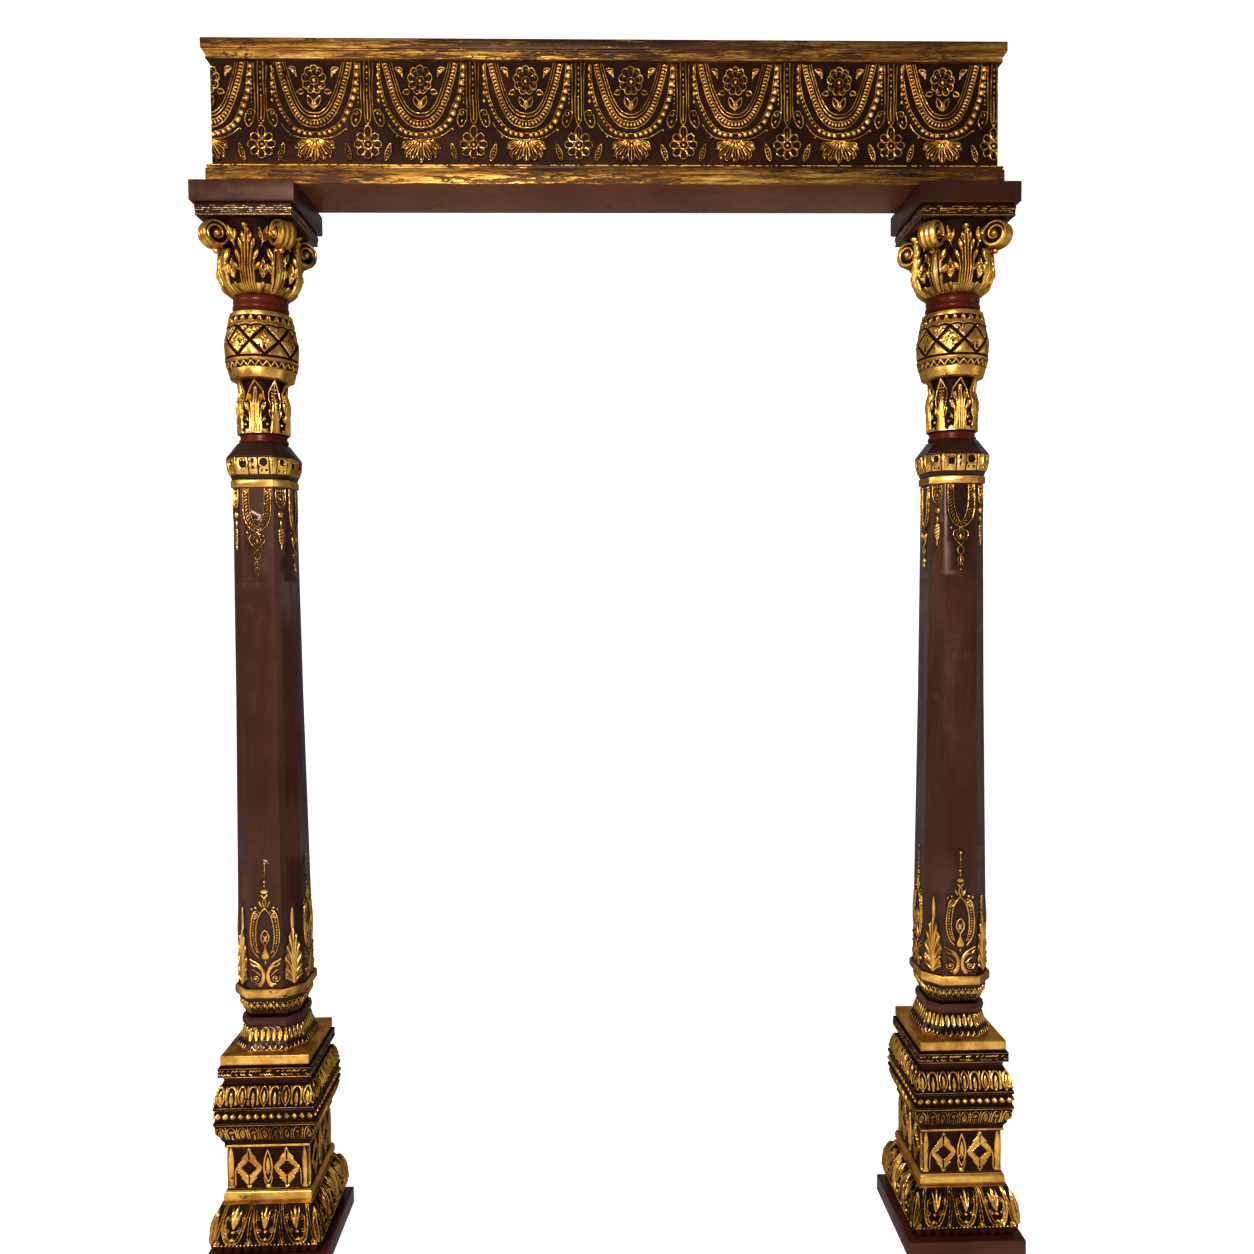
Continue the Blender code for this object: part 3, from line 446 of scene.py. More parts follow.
def eight_section(face_columns, corner_columns):
    """Sections of a chamfered piece: rows are (height, half width, half width of a face)."""
    face = np.linspace(-1, 1, face_columns)[None, :]
    corner = np.linspace(-1, 1, corner_columns)[None, :]
    lean = math.tan(math.pi / 8)
    root = math.sqrt(0.5)

    def section(rows):
        half, wide = rows[:, 1:2], rows[:, 2:3]
        share = (corner + 1) / 2
        base_x = np.concatenate([face * wide, wide + (half - wide) * share], 1)
        base_y = np.concatenate([-half + 0 * face, -half + (half - wide) * share], 1)
        out_x = np.concatenate([lean * face, root + (1 - root) * corner], 1)
        out_y = np.concatenate([-1 + 0 * face, -root + (1 - root) * corner], 1)
        return {"base": (base_x, base_y), "out": (out_x, out_y),
                "drawn": [face * wide, corner * (half - wide) * root]}

    return section


def round_section(columns, reach):
    """Sections of a turned piece: rows are (height, radius), drawn round a cylinder of radius reach."""
    angle = np.linspace(-math.pi / 4, math.pi / 4, columns)[None, :]

    def section(rows):
        radius = rows[:, 1:2]
        return {"base": (radius * np.sin(angle), -radius * np.cos(angle)),
                "out": (np.sin(angle), -np.cos(angle)),
                "drawn": [angle * reach + 0 * radius]}

    return section


def wrapped(name, moulding, foot, most):
    """The closed skin of a moulding at the left column, its underside at a height."""
    made = moulding.arrays()
    height = made["height"]
    # Painted shade: points sunk below the blurred relief get a hollow value that darkens their colour
    soft = blurred(height, RECESS_SHADE_REACH / moulding.step)
    made["hollow"] = np.clip((soft - height) / RECESS_SHADE_DEPTH, 0, 1)
    rings, values = turned_four(made["x"], made["y"], made["z"],
                                {key: made[key] for key in ("gold", "hollow", "ground")})
    rings = rings + np.array([-COLUMN_OFFSET, 0, foot])
    return rings_piece(name, rings, values, most)


def rows_of(height, half, shares):
    """Rows of a moulding from shares of its height and set-backs from its half width."""
    return [(share * height, half - back) for share, back in shares]


# Finishes

def new_group(name, inputs, outputs):
    """An empty node group; inputs are (name, kind, value) and outputs (name, kind)."""
    tree = bpy.data.node_groups.new(name, "ShaderNodeTree")
    for label, kind, value in inputs:
        made = tree.interface.new_socket(name=label, in_out="INPUT", socket_type=kind)
        made.default_value = value
    for label, kind in outputs:
        tree.interface.new_socket(name=label, in_out="OUTPUT", socket_type=kind)
    return tree, tree.nodes.new("NodeGroupInput"), tree.nodes.new("NodeGroupOutput")


def maths(tree, operation, first, second=None, third=None, clamp=False):
    """One Math node; sockets are linked and numbers are set."""
    made = tree.nodes.new("ShaderNodeMath")
    made.operation = operation
    made.use_clamp = clamp
    for slot, value in zip(made.inputs, (first, second, third)):
        if isinstance(value, bpy.types.NodeSocket):
            tree.links.new(value, slot)
        elif value is not None:
            slot.default_value = value
    return made.outputs[0]


def noise(tree, place, scale, detail=4.0, rough=0.55, stretch=None, distortion=0.0):
    """Noise on a piece's own coordinates, stretched by a scale along each axis."""
    if stretch is not None:
        mapping = tree.nodes.new("ShaderNodeMapping")
        mapping.inputs["Scale"].default_value = stretch
        tree.links.new(place, mapping.inputs["Vector"])
        place = mapping.outputs["Vector"]
    made = tree.nodes.new("ShaderNodeTexNoise")
    made.inputs["Scale"].default_value = scale
    made.inputs["Detail"].default_value = detail
    made.inputs["Roughness"].default_value = rough
    made.inputs["Distortion"].default_value = distortion
    tree.links.new(place, made.inputs["Vector"])
    return made.outputs["Fac"]


def between(tree, value, low, high):
    """0 below low and 1 above high."""
    made = tree.nodes.new("ShaderNodeMapRange")
    made.interpolation_type = "SMOOTHSTEP"
    tree.links.new(value, made.inputs["Value"])
    for key, edge in (("From Min", low), ("From Max", high)):
        if isinstance(edge, bpy.types.NodeSocket):
            tree.links.new(edge, made.inputs[key])
        else:
            made.inputs[key].default_value = edge
    return made.outputs["Result"]


def mixed(tree, share, low, high):
    """A colour between two colours."""
    made = tree.nodes.new("ShaderNodeMix")
    made.data_type = "RGBA"
    for slot, value in ((made.inputs["Factor"], share), (made.inputs[6], low), (made.inputs[7], high)):
        if isinstance(value, bpy.types.NodeSocket):
            tree.links.new(value, slot)
        else:
            slot.default_value = value
    return made.outputs[2]


def colour(text):
    """Linear colour from a hexadecimal one."""
    channels = [int(text[i:i + 2], 16) / 255 for i in (0, 2, 4)]
    return (*[c / 12.92 if c <= 0.04045 else ((c + 0.055) / 1.055) ** 2.4 for c in channels], 1.0)


def stretched(tree, inside, name):
    """A group's place, scaled by one of its inputs."""
    made = tree.nodes.new("ShaderNodeVectorMath")
    made.operation = "MULTIPLY"
    tree.links.new(inside.outputs["Place"], made.inputs[0])
    tree.links.new(inside.outputs[name], made.inputs[1])
    return made.outputs[0]


def gold_group():
    """Antique gold leaf: its colour, roughness and fine unevenness."""
    tree, inside, out = new_group("antique_gold", [
        ("Place", "NodeSocketVector", (0, 0, 0)), ("Stretch", "NodeSocketVector", (1, 1, 1))],
                                  [("Colour", "NodeSocketColor"), ("Roughness", "NodeSocketFloat"),
                                   ("Height", "NodeSocketFloat")])
    place = stretched(tree, inside, "Stretch")
    cloud = noise(tree, place, 26, 4, 0.5)
    grain = noise(tree, place, 210, 3, 0.5)
    deep = mixed(tree, between(tree, cloud, 0.32, 0.66), colour("9C7034"), colour("CFA255"))
    pale = mixed(tree, between(tree, grain, 0.54, 0.94), deep, colour("E6C27A"))
    tree.links.new(pale, out.inputs["Colour"])
    tree.links.new(maths(tree, "MULTIPLY_ADD", grain, 0.16, 0.23), out.inputs["Roughness"])
    tree.links.new(maths(tree, "ADD", maths(tree, "MULTIPLY", cloud, 0.5),
                         maths(tree, "MULTIPLY", grain, 0.18)),
                   out.inputs["Height"])
    return tree


def lacquer_group():
    """Red-brown lacquer over grained wood: colour, roughness and height of the grain and scuffs."""
    tree, inside, out = new_group("red_brown_lacquer", [
        ("Place", "NodeSocketVector", (0, 0, 0)), ("Grain", "NodeSocketVector", (30, 30, 1.6)),
        ("Dark", "NodeSocketColor", colour("25100B")), ("Light", "NodeSocketColor", colour("54281C"))],
                                  [("Colour", "NodeSocketColor"), ("Roughness", "NodeSocketFloat"),
                                   ("Height", "NodeSocketFloat")])
    scaled = stretched(tree, inside, "Grain")
    streak = noise(tree, scaled, 6, 5, 0.62, distortion=0.4)
    cloud = noise(tree, inside.outputs["Place"], 5, 3, 0.5)
    scuff = noise(tree, inside.outputs["Place"], 38, 6, 0.7)
    share = maths(tree, "ADD", maths(tree, "MULTIPLY", streak, 0.34), maths(tree, "MULTIPLY", cloud, 0.66))
    base = mixed(tree, between(tree, share, 0.30, 0.70), inside.outputs["Dark"], inside.outputs["Light"])
    marks = noise(tree, inside.outputs["Place"], 16, 8, 0.78, stretch=(1.0, 1.0, 0.35), distortion=1.2)
    base = mixed(tree, maths(tree, "MULTIPLY", between(tree, marks, 0.60, 0.74), 0.22), base,
                 colour("7A5448"))
    tree.links.new(base, out.inputs["Colour"])
    rough = maths(tree, "ADD", maths(tree, "MULTIPLY", between(tree, scuff, 0.50, 0.72), 0.16),
                  maths(tree, "MULTIPLY_ADD", streak, 0.06, 0.26))
    tree.links.new(rough, out.inputs["Roughness"])
    tree.links.new(maths(tree, "ADD", maths(tree, "MULTIPLY", streak, 0.22),
                         maths(tree, "MULTIPLY", scuff, 0.20)),
                   out.inputs["Height"])
    return tree


def wear_group():
    """Where gold is worn off: streaks, spots and rubbed patches, from 0 for gold to 1 for bare wood."""
    tree, inside, out = new_group("worn_gold", [
        ("Place", "NodeSocketVector", (0, 0, 0)), ("Stretch", "NodeSocketVector", (1, 1, 1)),
        ("Amount", "NodeSocketFloat", 0.5)], [("Worn", "NodeSocketFloat"), ("Thin", "NodeSocketFloat")])
    place = stretched(tree, inside, "Stretch")
    patch = noise(tree, place, 9, 4, 0.6, distortion=0.6)
    spots = noise(tree, place, 75, 5, 0.68)
    fine = noise(tree, place, 320, 3, 0.6)
    total = maths(tree, "ADD", maths(tree, "MULTIPLY", patch, 0.42),
                  maths(tree, "ADD", maths(tree, "MULTIPLY", spots, 0.40),
                        maths(tree, "MULTIPLY", fine, 0.18)))
    edge = maths(tree, "MULTIPLY_ADD", inside.outputs["Amount"], -0.32, 0.70)
    tree.links.new(between(tree, total, edge, maths(tree, "ADD", edge, 0.05)), out.inputs["Worn"])
    tree.links.new(between(tree, total, maths(tree, "ADD", edge, -0.10), edge), out.inputs["Thin"])
    return tree


GOLD, LACQUER, WEAR = gold_group(), lacquer_group(), wear_group()


def placed(tree, group, place, **settings):
    """A shared effect on a place; sockets are linked and numbers are set."""
    made = tree.nodes.new("ShaderNodeGroup")
    made.node_tree = group
    tree.links.new(place, made.inputs["Place"])
    for key, value in settings.items():
        if isinstance(value, bpy.types.NodeSocket):
            tree.links.new(value, made.inputs[key])
        else:
            made.inputs[key].default_value = value
    return made


def new_finish(name, shown):
    """A material with a Principled shader, and its object coordinates."""
    made = bpy.data.materials.new(name)
    made.use_nodes = True
    made.diffuse_color = shown
    tree = made.node_tree
    shader = tree.nodes["Principled BSDF"]
    place = tree.nodes.new("ShaderNodeTexCoord").outputs["Object"]
    return made, tree, shader, place


def attribute(tree, name):
    """One of the values that a piece keeps at its points."""
    made = tree.nodes.new("ShaderNodeAttribute")
    made.attribute_name = name
    return made.outputs["Fac"]


def sheen(shader, shine, coat=0.0, coat_rough=0.03):
    """The strength of the reflections, which are warm, and of the clear coat."""
    shader.inputs["Specular IOR Level"].default_value = shine
    shader.inputs["Specular Tint"].default_value = WARM_SHEEN
    shader.inputs["Coat Weight"].default_value = coat
    shader.inputs["Coat Roughness"].default_value = coat_rough


def bumped(tree, shader, height, distance):
    """Small unevenness of the surface."""
    made = tree.nodes.new("ShaderNodeBump")
    made.inputs["Distance"].default_value = distance
    tree.links.new(height, made.inputs["Height"])
    tree.links.new(made.outputs["Normal"], shader.inputs["Normal"])


def carved_finish(name, wear, dark, brown, light, coat, dull_ground=0.3, shine=0.25):
    """Gilded carving: worn gold where the relief has it, over dark wood or, where ground is 1, lacquer, with
    painted shade darkening both in the hollows.
    """
    made, tree, shader, place = new_finish(name, colour(brown))
    gold = placed(tree, GOLD, place)
    worn = placed(tree, WEAR, place, Amount=wear)
    lacquer = placed(tree, LACQUER, place, Dark=colour(brown), Light=colour(light))
    # Painted shade: the hollow value, from the relief, darkens colour in recesses
    hollow = attribute(tree, "hollow")
    ground = mixed(tree, between(tree, attribute(tree, "ground"), 0.0, 1.0), colour(dark),
                   lacquer.outputs["Colour"])
    # Painted shade: the ground goes near black in the hollows
    ground = mixed(tree, maths(tree, "MULTIPLY", hollow, 0.75), ground, colour("080302"))
    raised = attribute(tree, "gold")
    speck = maths(tree, "MULTIPLY_ADD", noise(tree, place, 420, 3, 0.6), 0.30, -0.15)
    mask = between(tree, maths(tree, "ADD", raised, speck), 0.34, 0.56)
    mask = maths(tree, "MULTIPLY", mask, maths(tree, "SUBTRACT", 1.0, worn.outputs["Worn"]))
    leaf = mixed(tree, maths(tree, "MULTIPLY", worn.outputs["Thin"], 0.22), gold.outputs["Colour"],
                 colour("7A4E20"))
    # Painted shade: the gold goes dark brown in the hollows
    leaf = mixed(tree, maths(tree, "MULTIPLY", hollow, 0.7), leaf, colour("3A200C"))
    tree.links.new(mixed(tree, mask, ground, leaf), shader.inputs["Base Color"])
    tree.links.new(maths(tree, "MULTIPLY", mask, 0.88), shader.inputs["Metallic"])
    rough = tree.nodes.new("ShaderNodeMix")
    tree.links.new(mask, rough.inputs["Factor"])
    dull = maths(tree, "MULTIPLY_ADD", attribute(tree, "ground"), -dull_ground, dull_ground)
    tree.links.new(maths(tree, "ADD", lacquer.outputs["Roughness"], dull), rough.inputs[2])
    tree.links.new(gold.outputs["Roughness"], rough.inputs[3])
    tree.links.new(rough.outputs[0], shader.inputs["Roughness"])
    sheen(shader, shine, coat, 0.15)
    uneven = maths(tree, "ADD",
                   maths(tree, "MULTIPLY", gold.outputs["Height"], maths(tree, "MULTIPLY", mask, 0.7)),
                   maths(tree, "ADD", maths(tree, "MULTIPLY", lacquer.outputs["Height"], 0.4),
                         maths(tree, "MULTIPLY", mask, 0.5)))
    bumped(tree, shader, uneven, 0.0004)
    return made


# Heights between which the bottom board's upper rim keeps short bright strokes of gold
RIM_LOW, RIM_HIGH = 2.3862, 2.3884


def board_finish(name, wear, streak):
    """Gold over wood with worn streaks along the grain and dark knocked patches."""
    made, tree, shader, place = new_finish(name, colour("9A6420"))
    gold = placed(tree, GOLD, place, Stretch=(0.35, 1, 1))
    worn = placed(tree, WEAR, place, Stretch=streak, Amount=wear)
    patch = placed(tree, WEAR, place, Stretch=(0.9, 1.2, 2.6), Amount=wear * 0.72)
    wood = placed(tree, LACQUER, place, Grain=(1.4, 40, 60), Dark=colour("180B06"), Light=colour("40240F"))
    mask = maths(tree, "SUBTRACT", 1.0, maths(tree, "MAXIMUM", worn.outputs["Worn"], patch.outputs["Worn"]),
                 clamp=True)
    streaks = noise(tree, place, 9, 7, 0.75, stretch=(0.5, 9, 14), distortion=0.5)
    leaf = mixed(tree, between(tree, streaks, 0.48, 0.60), gold.outputs["Colour"], colour("7A5120"))
    leaf = mixed(tree, maths(tree, "MULTIPLY", worn.outputs["Thin"], 0.7), leaf, colour("4E2F12"))
    height = tree.nodes.new("ShaderNodeSeparateXYZ")
    tree.links.new(place, height.inputs[0])
    rim = maths(tree, "MULTIPLY", between(tree, height.outputs["Z"], RIM_LOW, RIM_LOW + 0.0004),
                between(tree, height.outputs["Z"], RIM_HIGH + 0.0004, RIM_HIGH))
    dashes = noise(tree, place, 110, 3, 0.6, stretch=(1.0, 0.2, 0.2))
    rim = maths(tree, "MULTIPLY", rim, between(tree, dashes, 0.45, 0.49))
    leaf = mixed(tree, rim, leaf, colour("DDB466"))
    mask = maths(tree, "MAXIMUM", mask, rim)
    tree.links.new(mixed(tree, mask, wood.outputs["Colour"], leaf), shader.inputs["Base Color"])
    tree.links.new(maths(tree, "MULTIPLY", mask, 0.78), shader.inputs["Metallic"])
    rough = maths(tree, "MULTIPLY_ADD", worn.outputs["Thin"], 0.12, gold.outputs["Roughness"])
    tree.links.new(rough, shader.inputs["Roughness"])
    sheen(shader, 0.28)
    bumped(tree, shader, maths(tree, "ADD", maths(tree, "MULTIPLY", mask, 0.8),
                               maths(tree, "MULTIPLY", wood.outputs["Height"], 0.7)), 0.0005)
    return made


def wood_finish(name, grain, dark, light, coat, shine=0.25):
    """Plain lacquered wood."""
    made, tree, shader, place = new_finish(name, colour(light))
    wood = placed(tree, LACQUER, place, Grain=grain, Dark=colour(dark), Light=colour(light))
    tree.links.new(wood.outputs["Colour"], shader.inputs["Base Color"])
    tree.links.new(wood.outputs["Roughness"], shader.inputs["Roughness"])
    sheen(shader, shine, coat, 0.12)
    bumped(tree, shader, wood.outputs["Height"], 0.0005)
    return made


CARVING = carved_finish("gilded_dark_carving", 0.42, "160703", "331007", "481C10", coat=0.0, shine=0.14)
COLUMN_LACQUER = carved_finish("lacquered_column", 0.40, "160805", "28120D", "3A2019", coat=0.10,
                               dull_ground=0.0)
BOARD_GOLD = board_finish("distressed_board_gold", 0.70, (0.20, 1.0, 2.2))
SLAB_LACQUER = wood_finish("plain_red_brown_lacquer", (2.0, 2.0, 14), "2E140E", "46221A", coat=0.10)
BARE_WOOD = wood_finish("bare_brown_underside", (0.7, 3, 3), "4A2618", "5E3824", coat=0.0, shine=0.12)


def put(made, slot, *finishes):
    """Gives a finished piece its materials, its body and the solid that it stands for; the slot is not used.
    """
    made.data.materials.clear()
    for finish in finishes:
        made.data.materials.append(finish)
    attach(made, "root")
    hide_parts(made.name[:-len("_carved")])
    return made


def both_sides(left):
    """Copies a left column piece to the right column."""
    right = left.copy()
    right.data = left.data.copy()
    right.name = right.data.name = left.name.replace("left_", "right_")
    right.data.transform(Matrix.Translation((2 * COLUMN_OFFSET, 0, 0)))
    bpy.context.scene.collection.objects.link(right)
    return left, right


# Lintel frieze

# In millimetres, the pitch of the swags and the height of the frieze. In metres, the middle of a bay
# from the beam's left end, and how far the ground lies behind the front of the solid.
BAY = 224.3
FRIEZE_TOP = 220.7
FIRST_BAY = 0.2183
FRIEZE_DEPTH = 0.0050


def draw_bay(r):
    """One bay, its middle at 0 and the middle of the space between bays at half a pitch on each side."""
    top, high = 218.0, 5.0
    r.bold = 1.25
    # nested swags
    r.line(hanging(60, top, 112, 2.5), 1.0, 2.6)
    r.line(hanging(65, top, 105, 2.6), 1.1, 3.0)
    r.line(hanging(74.0, top, 91.5, 2.6), 5.6, 1.6, 0.0)
    r.line(hanging(70.5, top, 97, 2.6), 0.8, 2.6, 0.9)
    r.beads(hanging(74.2, top, 90.5, 2.6), 7.4, 4.9, 2.7, 4.8, 3.0)
    r.line(hanging(80, top, 82.5, 2.7), 1.1, 2.8)
    # outer chain: small leaf beads on the left, large blocks on the right
    chain = curve([(-88, 218), (-88, 190), (-84, 160), (-79, 138), (-68, 112), (-54, 90), (-40, 77),
                   (-22, 70), (-4, 68)])
    r.line(chain, 5.0, 1.2, 0.0)
    r.line(chain + (3.6, 3.2), 0.8, 2.4)
    r.beads(chain[:44], 9.5, 2.8, 3.6, high, 2.6)
    r.beads(chain[44:], 12.0, 4.8, 4.8, high, 3.2)
    chain = curve([(91.5, 218), (91, 196), (88, 177), (85, 156), (79, 137), (71, 116), (62, 97), (50, 83),
                   (34, 74), (16, 69), (4, 68)])
    r.line(chain, 5.6, 1.2, 0.0)
    r.line(chain + (-5.4, 3.6), 0.8, 2.2)
    r.beads(chain[:52], 16.6, 5.2, 6.4, high, 3.4)
    r.beads(chain[52:], 12.0, 5.0, 4.8, high, 3.2)
    # thin arc under the chain
    r.line(curve([(-71, 92), (-62, 78), (-48, 66), (-30, 60), (0, 57.5), (30, 60), (50, 68), (66, 80)]), 1.1,
           3.0)
    r.bead(-52, 64, 2.2, 2.6, 3.0)
    r.bead(68, 79, 2.0, 3.0, 3.0)
    # flower and buds inside the swags
    r.rosette(0, 181, 26, 30, 9, 1.5, high)
    r.rosette(0, 181, 20, 23, 9, 0.7, 3.0)
    for i in range(9):
        turn = 2 * math.pi * (i + 0.5) / 9
        r.line([(12 * math.sin(turn), 181 + 13 * math.cos(turn)),
                (20 * math.sin(turn), 181 + 23 * math.cos(turn))], 0.8, 3.4, 0.9)
    r.bead(0, 180, 4.0, 5.4, high)
    r.ring(0, 180, 9.0, 0.8, 2.4)
    for side in (-1, 1):
        r.leaf(side * 36, 200, side * 1.25, 19, 6.4, 4.6, 1.6, 0.2, 0, 0.8, 0.8, 0.2)
        r.leaf(side * 36, 192, side * 0.85, 18, 4.6, 4.4, 1.5, 0.5, 0, 0.9, 0.8, 0.9)
        r.bead(side * 38, 190, 2.6, 3.6, 4.0, side * 0.4)
        r.leaf(side * 22, 158, side * 1.85, 17, 7.0, 4.4, 1.6, 0.25, 0, 0.7, 0.8, 0.2)
        r.bead(side * 28, 152, 2.2, 3.2, 3.6, side * 0.6)
        r.leaf(side * 1.5, 121, side * 0.42, 30, 6.8, 4.4, 1.4, 0.25, 0, 0.95, 0.7)
    r.leaf(0, 118, 0, 22, 6.0, 4.2, 1.4, 0.3, 0, 0.9, 0.8, 0.8)
    # palmette under the swags
    for turn, length, wide in ((1.06, 45, 6.4), (-1.06, 45, 6.4), (0.74, 49, 7.6), (-0.74, 49, 7.6),
                               (0.40, 50, 8.4), (-0.40, 50, 8.4), (0, 51, 8.4)):
        r.leaf(5 * math.sin(turn), 60 - 2 * math.cos(turn), math.pi - turn, length, wide, high, 1.3, 0.45,
               1.3, 1.7, 0.75)
    r.bead(0, 53, 3.4, 3.0, high)
    for side in (-1, 1):
        r.line(scroll(side * 35, 47, 5.6, 1.2, math.pi / 2, -0.9 * side, 18), 1.2, 4.0)
        r.line(curve([(0, 57), (side * 14, 53), (side * 26, 55), (side * 35, 52.5)]), 1.2, 3.8)
        r.bead(side * 31, 21, 2.6, 3.4, 3.6)
    # between the bays, on both edges of the tile
    for middle in (-BAY / 2, BAY / 2):
        bar = [(middle - 5.4, top), (middle - 6.6, 150), (middle - 6.8, 108), (middle - 5.4, 96),
               (middle, 88), (middle + 5.4, 96), (middle + 6.8, 108), (middle + 6.6, 150),
               (middle + 5.4, top)]
        r.line(bar, 1.35, high - 0.4)
        r.beads([(middle, 214), (middle, 142)], 12.0, 2.2, 3.6, high, 2.6)
        r.line([(middle, 142), (middle, 99)], 1.8, 4.2)
        # left of the bar
        x = middle - 13
        r.line(curve([(x - 1, 216), (x - 0.5, 170), (x, 120), (x - 3, 98), (x - 10, 86), (x - 15, 83)]), 1.3,
               4.6)
        r.beads([(x - 6, 214), (x - 7, 130)], 9.5, 2.0, 3.2, 4.4)
        r.line(scroll(x - 10, 112, 9.0, 1.6, 0.4, 1.15, 26), 1.25, 4.6)
        r.line(curve([(x - 18.5, 110), (x - 21.5, 97), (x - 19, 88), (x - 15, 83)]), 1.4, 4.4)
        r.bead(x - 12, 97, 2.4, 4.2, 4.0, 0.6)
        # right of the bar
        x = middle + 12
        r.line(curve([(x + 1, 216), (x - 0.5, 170), (x - 0.5, 122), (x + 3, 100), (x + 11, 86),
                      (x + 17, 83)]), 1.3, 4.6)
        r.beads([(x + 11, 217), (x + 11.5, 130)], 17.2, 3.3, 4.8, high, 3.2)
        r.beads([(x + 11, 208), (x + 11.5, 140)], 17.2, 1.6, 1.8, 4.0)
        r.line(scroll(x + 11, 112, 8.4, 1.6, 2.8, -1.15, 26), 1.25, 4.6)
        r.line(curve([(x + 19.5, 110), (x + 22.5, 97), (x + 21, 88), (x + 17, 83)]), 1.4, 4.4)
        r.bead(x + 13, 97, 2.4, 4.2, 4.0, -0.6)
        # flower and slanting leaves
        for i in range(8):
            turn = 2 * math.pi * i / 8
            r.leaf(middle + 8.5 * math.sin(turn), 46.3 + 9 * math.cos(turn), turn, 32 if i == 0 else 22.5,
                   9.6, high, 1.6, 0.12,
                   0, 1.25, 0.55)
        r.line([(middle, 60), (middle, 76)], 1.0, 3.4)
        r.ring(middle, 46.3, 9.0, 1.5, high)
        r.bead(middle, 46.3, 4.2, 4.2, high)
        for side in (-1, 1):
            r.leaf(middle + side * 36, 11, side * 0.30, 41, 7.2, high, 1.5, 0.30, 0, 0.9, 0.6, 0.1)
            r.beads([(middle + side * 37.5, 17), (middle + side * 45, 42)], 6.0, 2.2, 2.4, 4.2)


def frieze_piece():
    """The frieze beam: one bay drawn once and carried along the front with a carver's small unevenness."""
    low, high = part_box("lintel_frieze_beam")
    fine = GRID * 0.55
    across = np.arange(-BAY / 2, BAY / 2 + fine / 2, fine)
    up = np.arange(0, FRIEZE_TOP + fine, fine)
    tile = Relief(across[None, :], up[:, None])
    draw_bay(tile)
    columns = int((high.x - low.x) / (GRID * MM)) + 1
    rows = int((high.z - low.z) / (GRID * MM)) + 1
    x = np.linspace(low.x, high.x, columns)
    z = np.linspace(0, FRIEZE_TOP, rows)
    first_bay = (low.x + FIRST_BAY) * 1000
    grid_x, grid_z = np.meshgrid(x * 1000, z)
    bend = 0.9 * smooth_noise(grid_x.shape, (9, 70), 5)
    lift = 0.9 * smooth_noise(grid_x.shape, (9, 70), 6)
    at_x = np.mod(grid_x - first_bay + bend + BAY / 2, BAY)
    at_z = np.clip(grid_z + lift, 0, FRIEZE_TOP)

    def sampled(values):
        column, row = at_x / fine, at_z / fine
        i = np.clip(row.astype(int), 0, values.shape[0] - 2)
        j = np.clip(column.astype(int), 0, values.shape[1] - 2)
        a, b = row - i, np.clip(column - j, 0, 1)
        return ((values[i, j] * (1 - b) + values[i, j + 1] * b) * (1 - a)
                + (values[i + 1, j] * (1 - b) + values[i + 1, j + 1] * b) * a)

    margin = np.clip(np.minimum(np.minimum(grid_z, FRIEZE_TOP - grid_z), (grid_x - low.x * 1000)) / 1.2, 0, 1)
    margin = np.minimum(margin, np.clip((high.x * 1000 - grid_x) / 1.2, 0, 1))
    relief = sampled(tile.height) * margin
    gold = sampled(tile.gold) * np.clip(margin * 2, 0, 1)
    # Painted shade: the hollow value darkens the ground and gold in the recesses of the relief
    hollow = np.clip((blurred(relief, 3.2 / GRID) - relief) / 1.1, 0, 1)
    cloud = smooth_noise(grid_x.shape, (4, 30), 8)
    ground = np.clip(0.05 + 0.40 * cloud + 0.35 * np.clip((70 - grid_z) / 20, 0, 1), 0, 1)
    ground_y = low.y + FRIEZE_DEPTH
    front = np.stack([grid_x * MM, ground_y - relief * MM, low.z + grid_z * MM], -1)
    made = beam_mesh("lintel_frieze_beam_carved", front, high.y,
                     {"gold": gold, "hollow": hollow, "ground": ground})
    thinned(made, FRIEZE_BUDGET)
    bpy.ops.object.shade_smooth_by_angle(angle=math.radians(45))
    evened(made)
    return put(made, "gilded_carving", CARVING)


def beam_mesh(name, front, back_y, values):
    """Closes a carved front into a beam with plain ends, back, top and underside."""
    rows = len(front)
    ends = 12
    depth = np.linspace(0, 1, ends + 1)[1:]
    right = np.repeat(front[:, -1:], ends, 1).copy()
    right[..., 1] += (back_y - right[..., 1]) * depth
    left = np.repeat(front[:, :1], ends, 1).copy()
    left[..., 1] += (back_y - left[..., 1]) * depth[::-1]
    rings = np.concatenate([front, right, left], 1)
    pad = {key: np.concatenate([value, np.zeros((rows, 2 * ends)) + (0.3 if key == "ground" else 0)], 1)
           for key, value in values.items()}
    count = rings.shape[1]
    quads = ring_quads(rows, count)
    middle_low = np.array([[0, back_y * 0.2, rings[0, 0, 2]]])
    middle_high = np.array([[0, back_y * 0.2, rings[-1, 0, 2]]])
    points = np.vstack([rings.reshape(-1, 3), middle_low, middle_high])
    j = np.arange(count)
    k = (j + 1) % count
    first = rows * count
    low = np.stack([k, j, np.full(count, first)], 1)
    high = np.stack([(rows - 1) * count + j, (rows - 1) * count + k, np.full(count, first + 1)], 1)
    flat = {key: np.concatenate([value.ravel(), [0, 0]]) for key, value in pad.items()}
    return mesh_piece(name, points, quads, np.vstack([low, high]), flat)


frieze_piece()


# Plain boards and slabs, extruded row by row from the underside

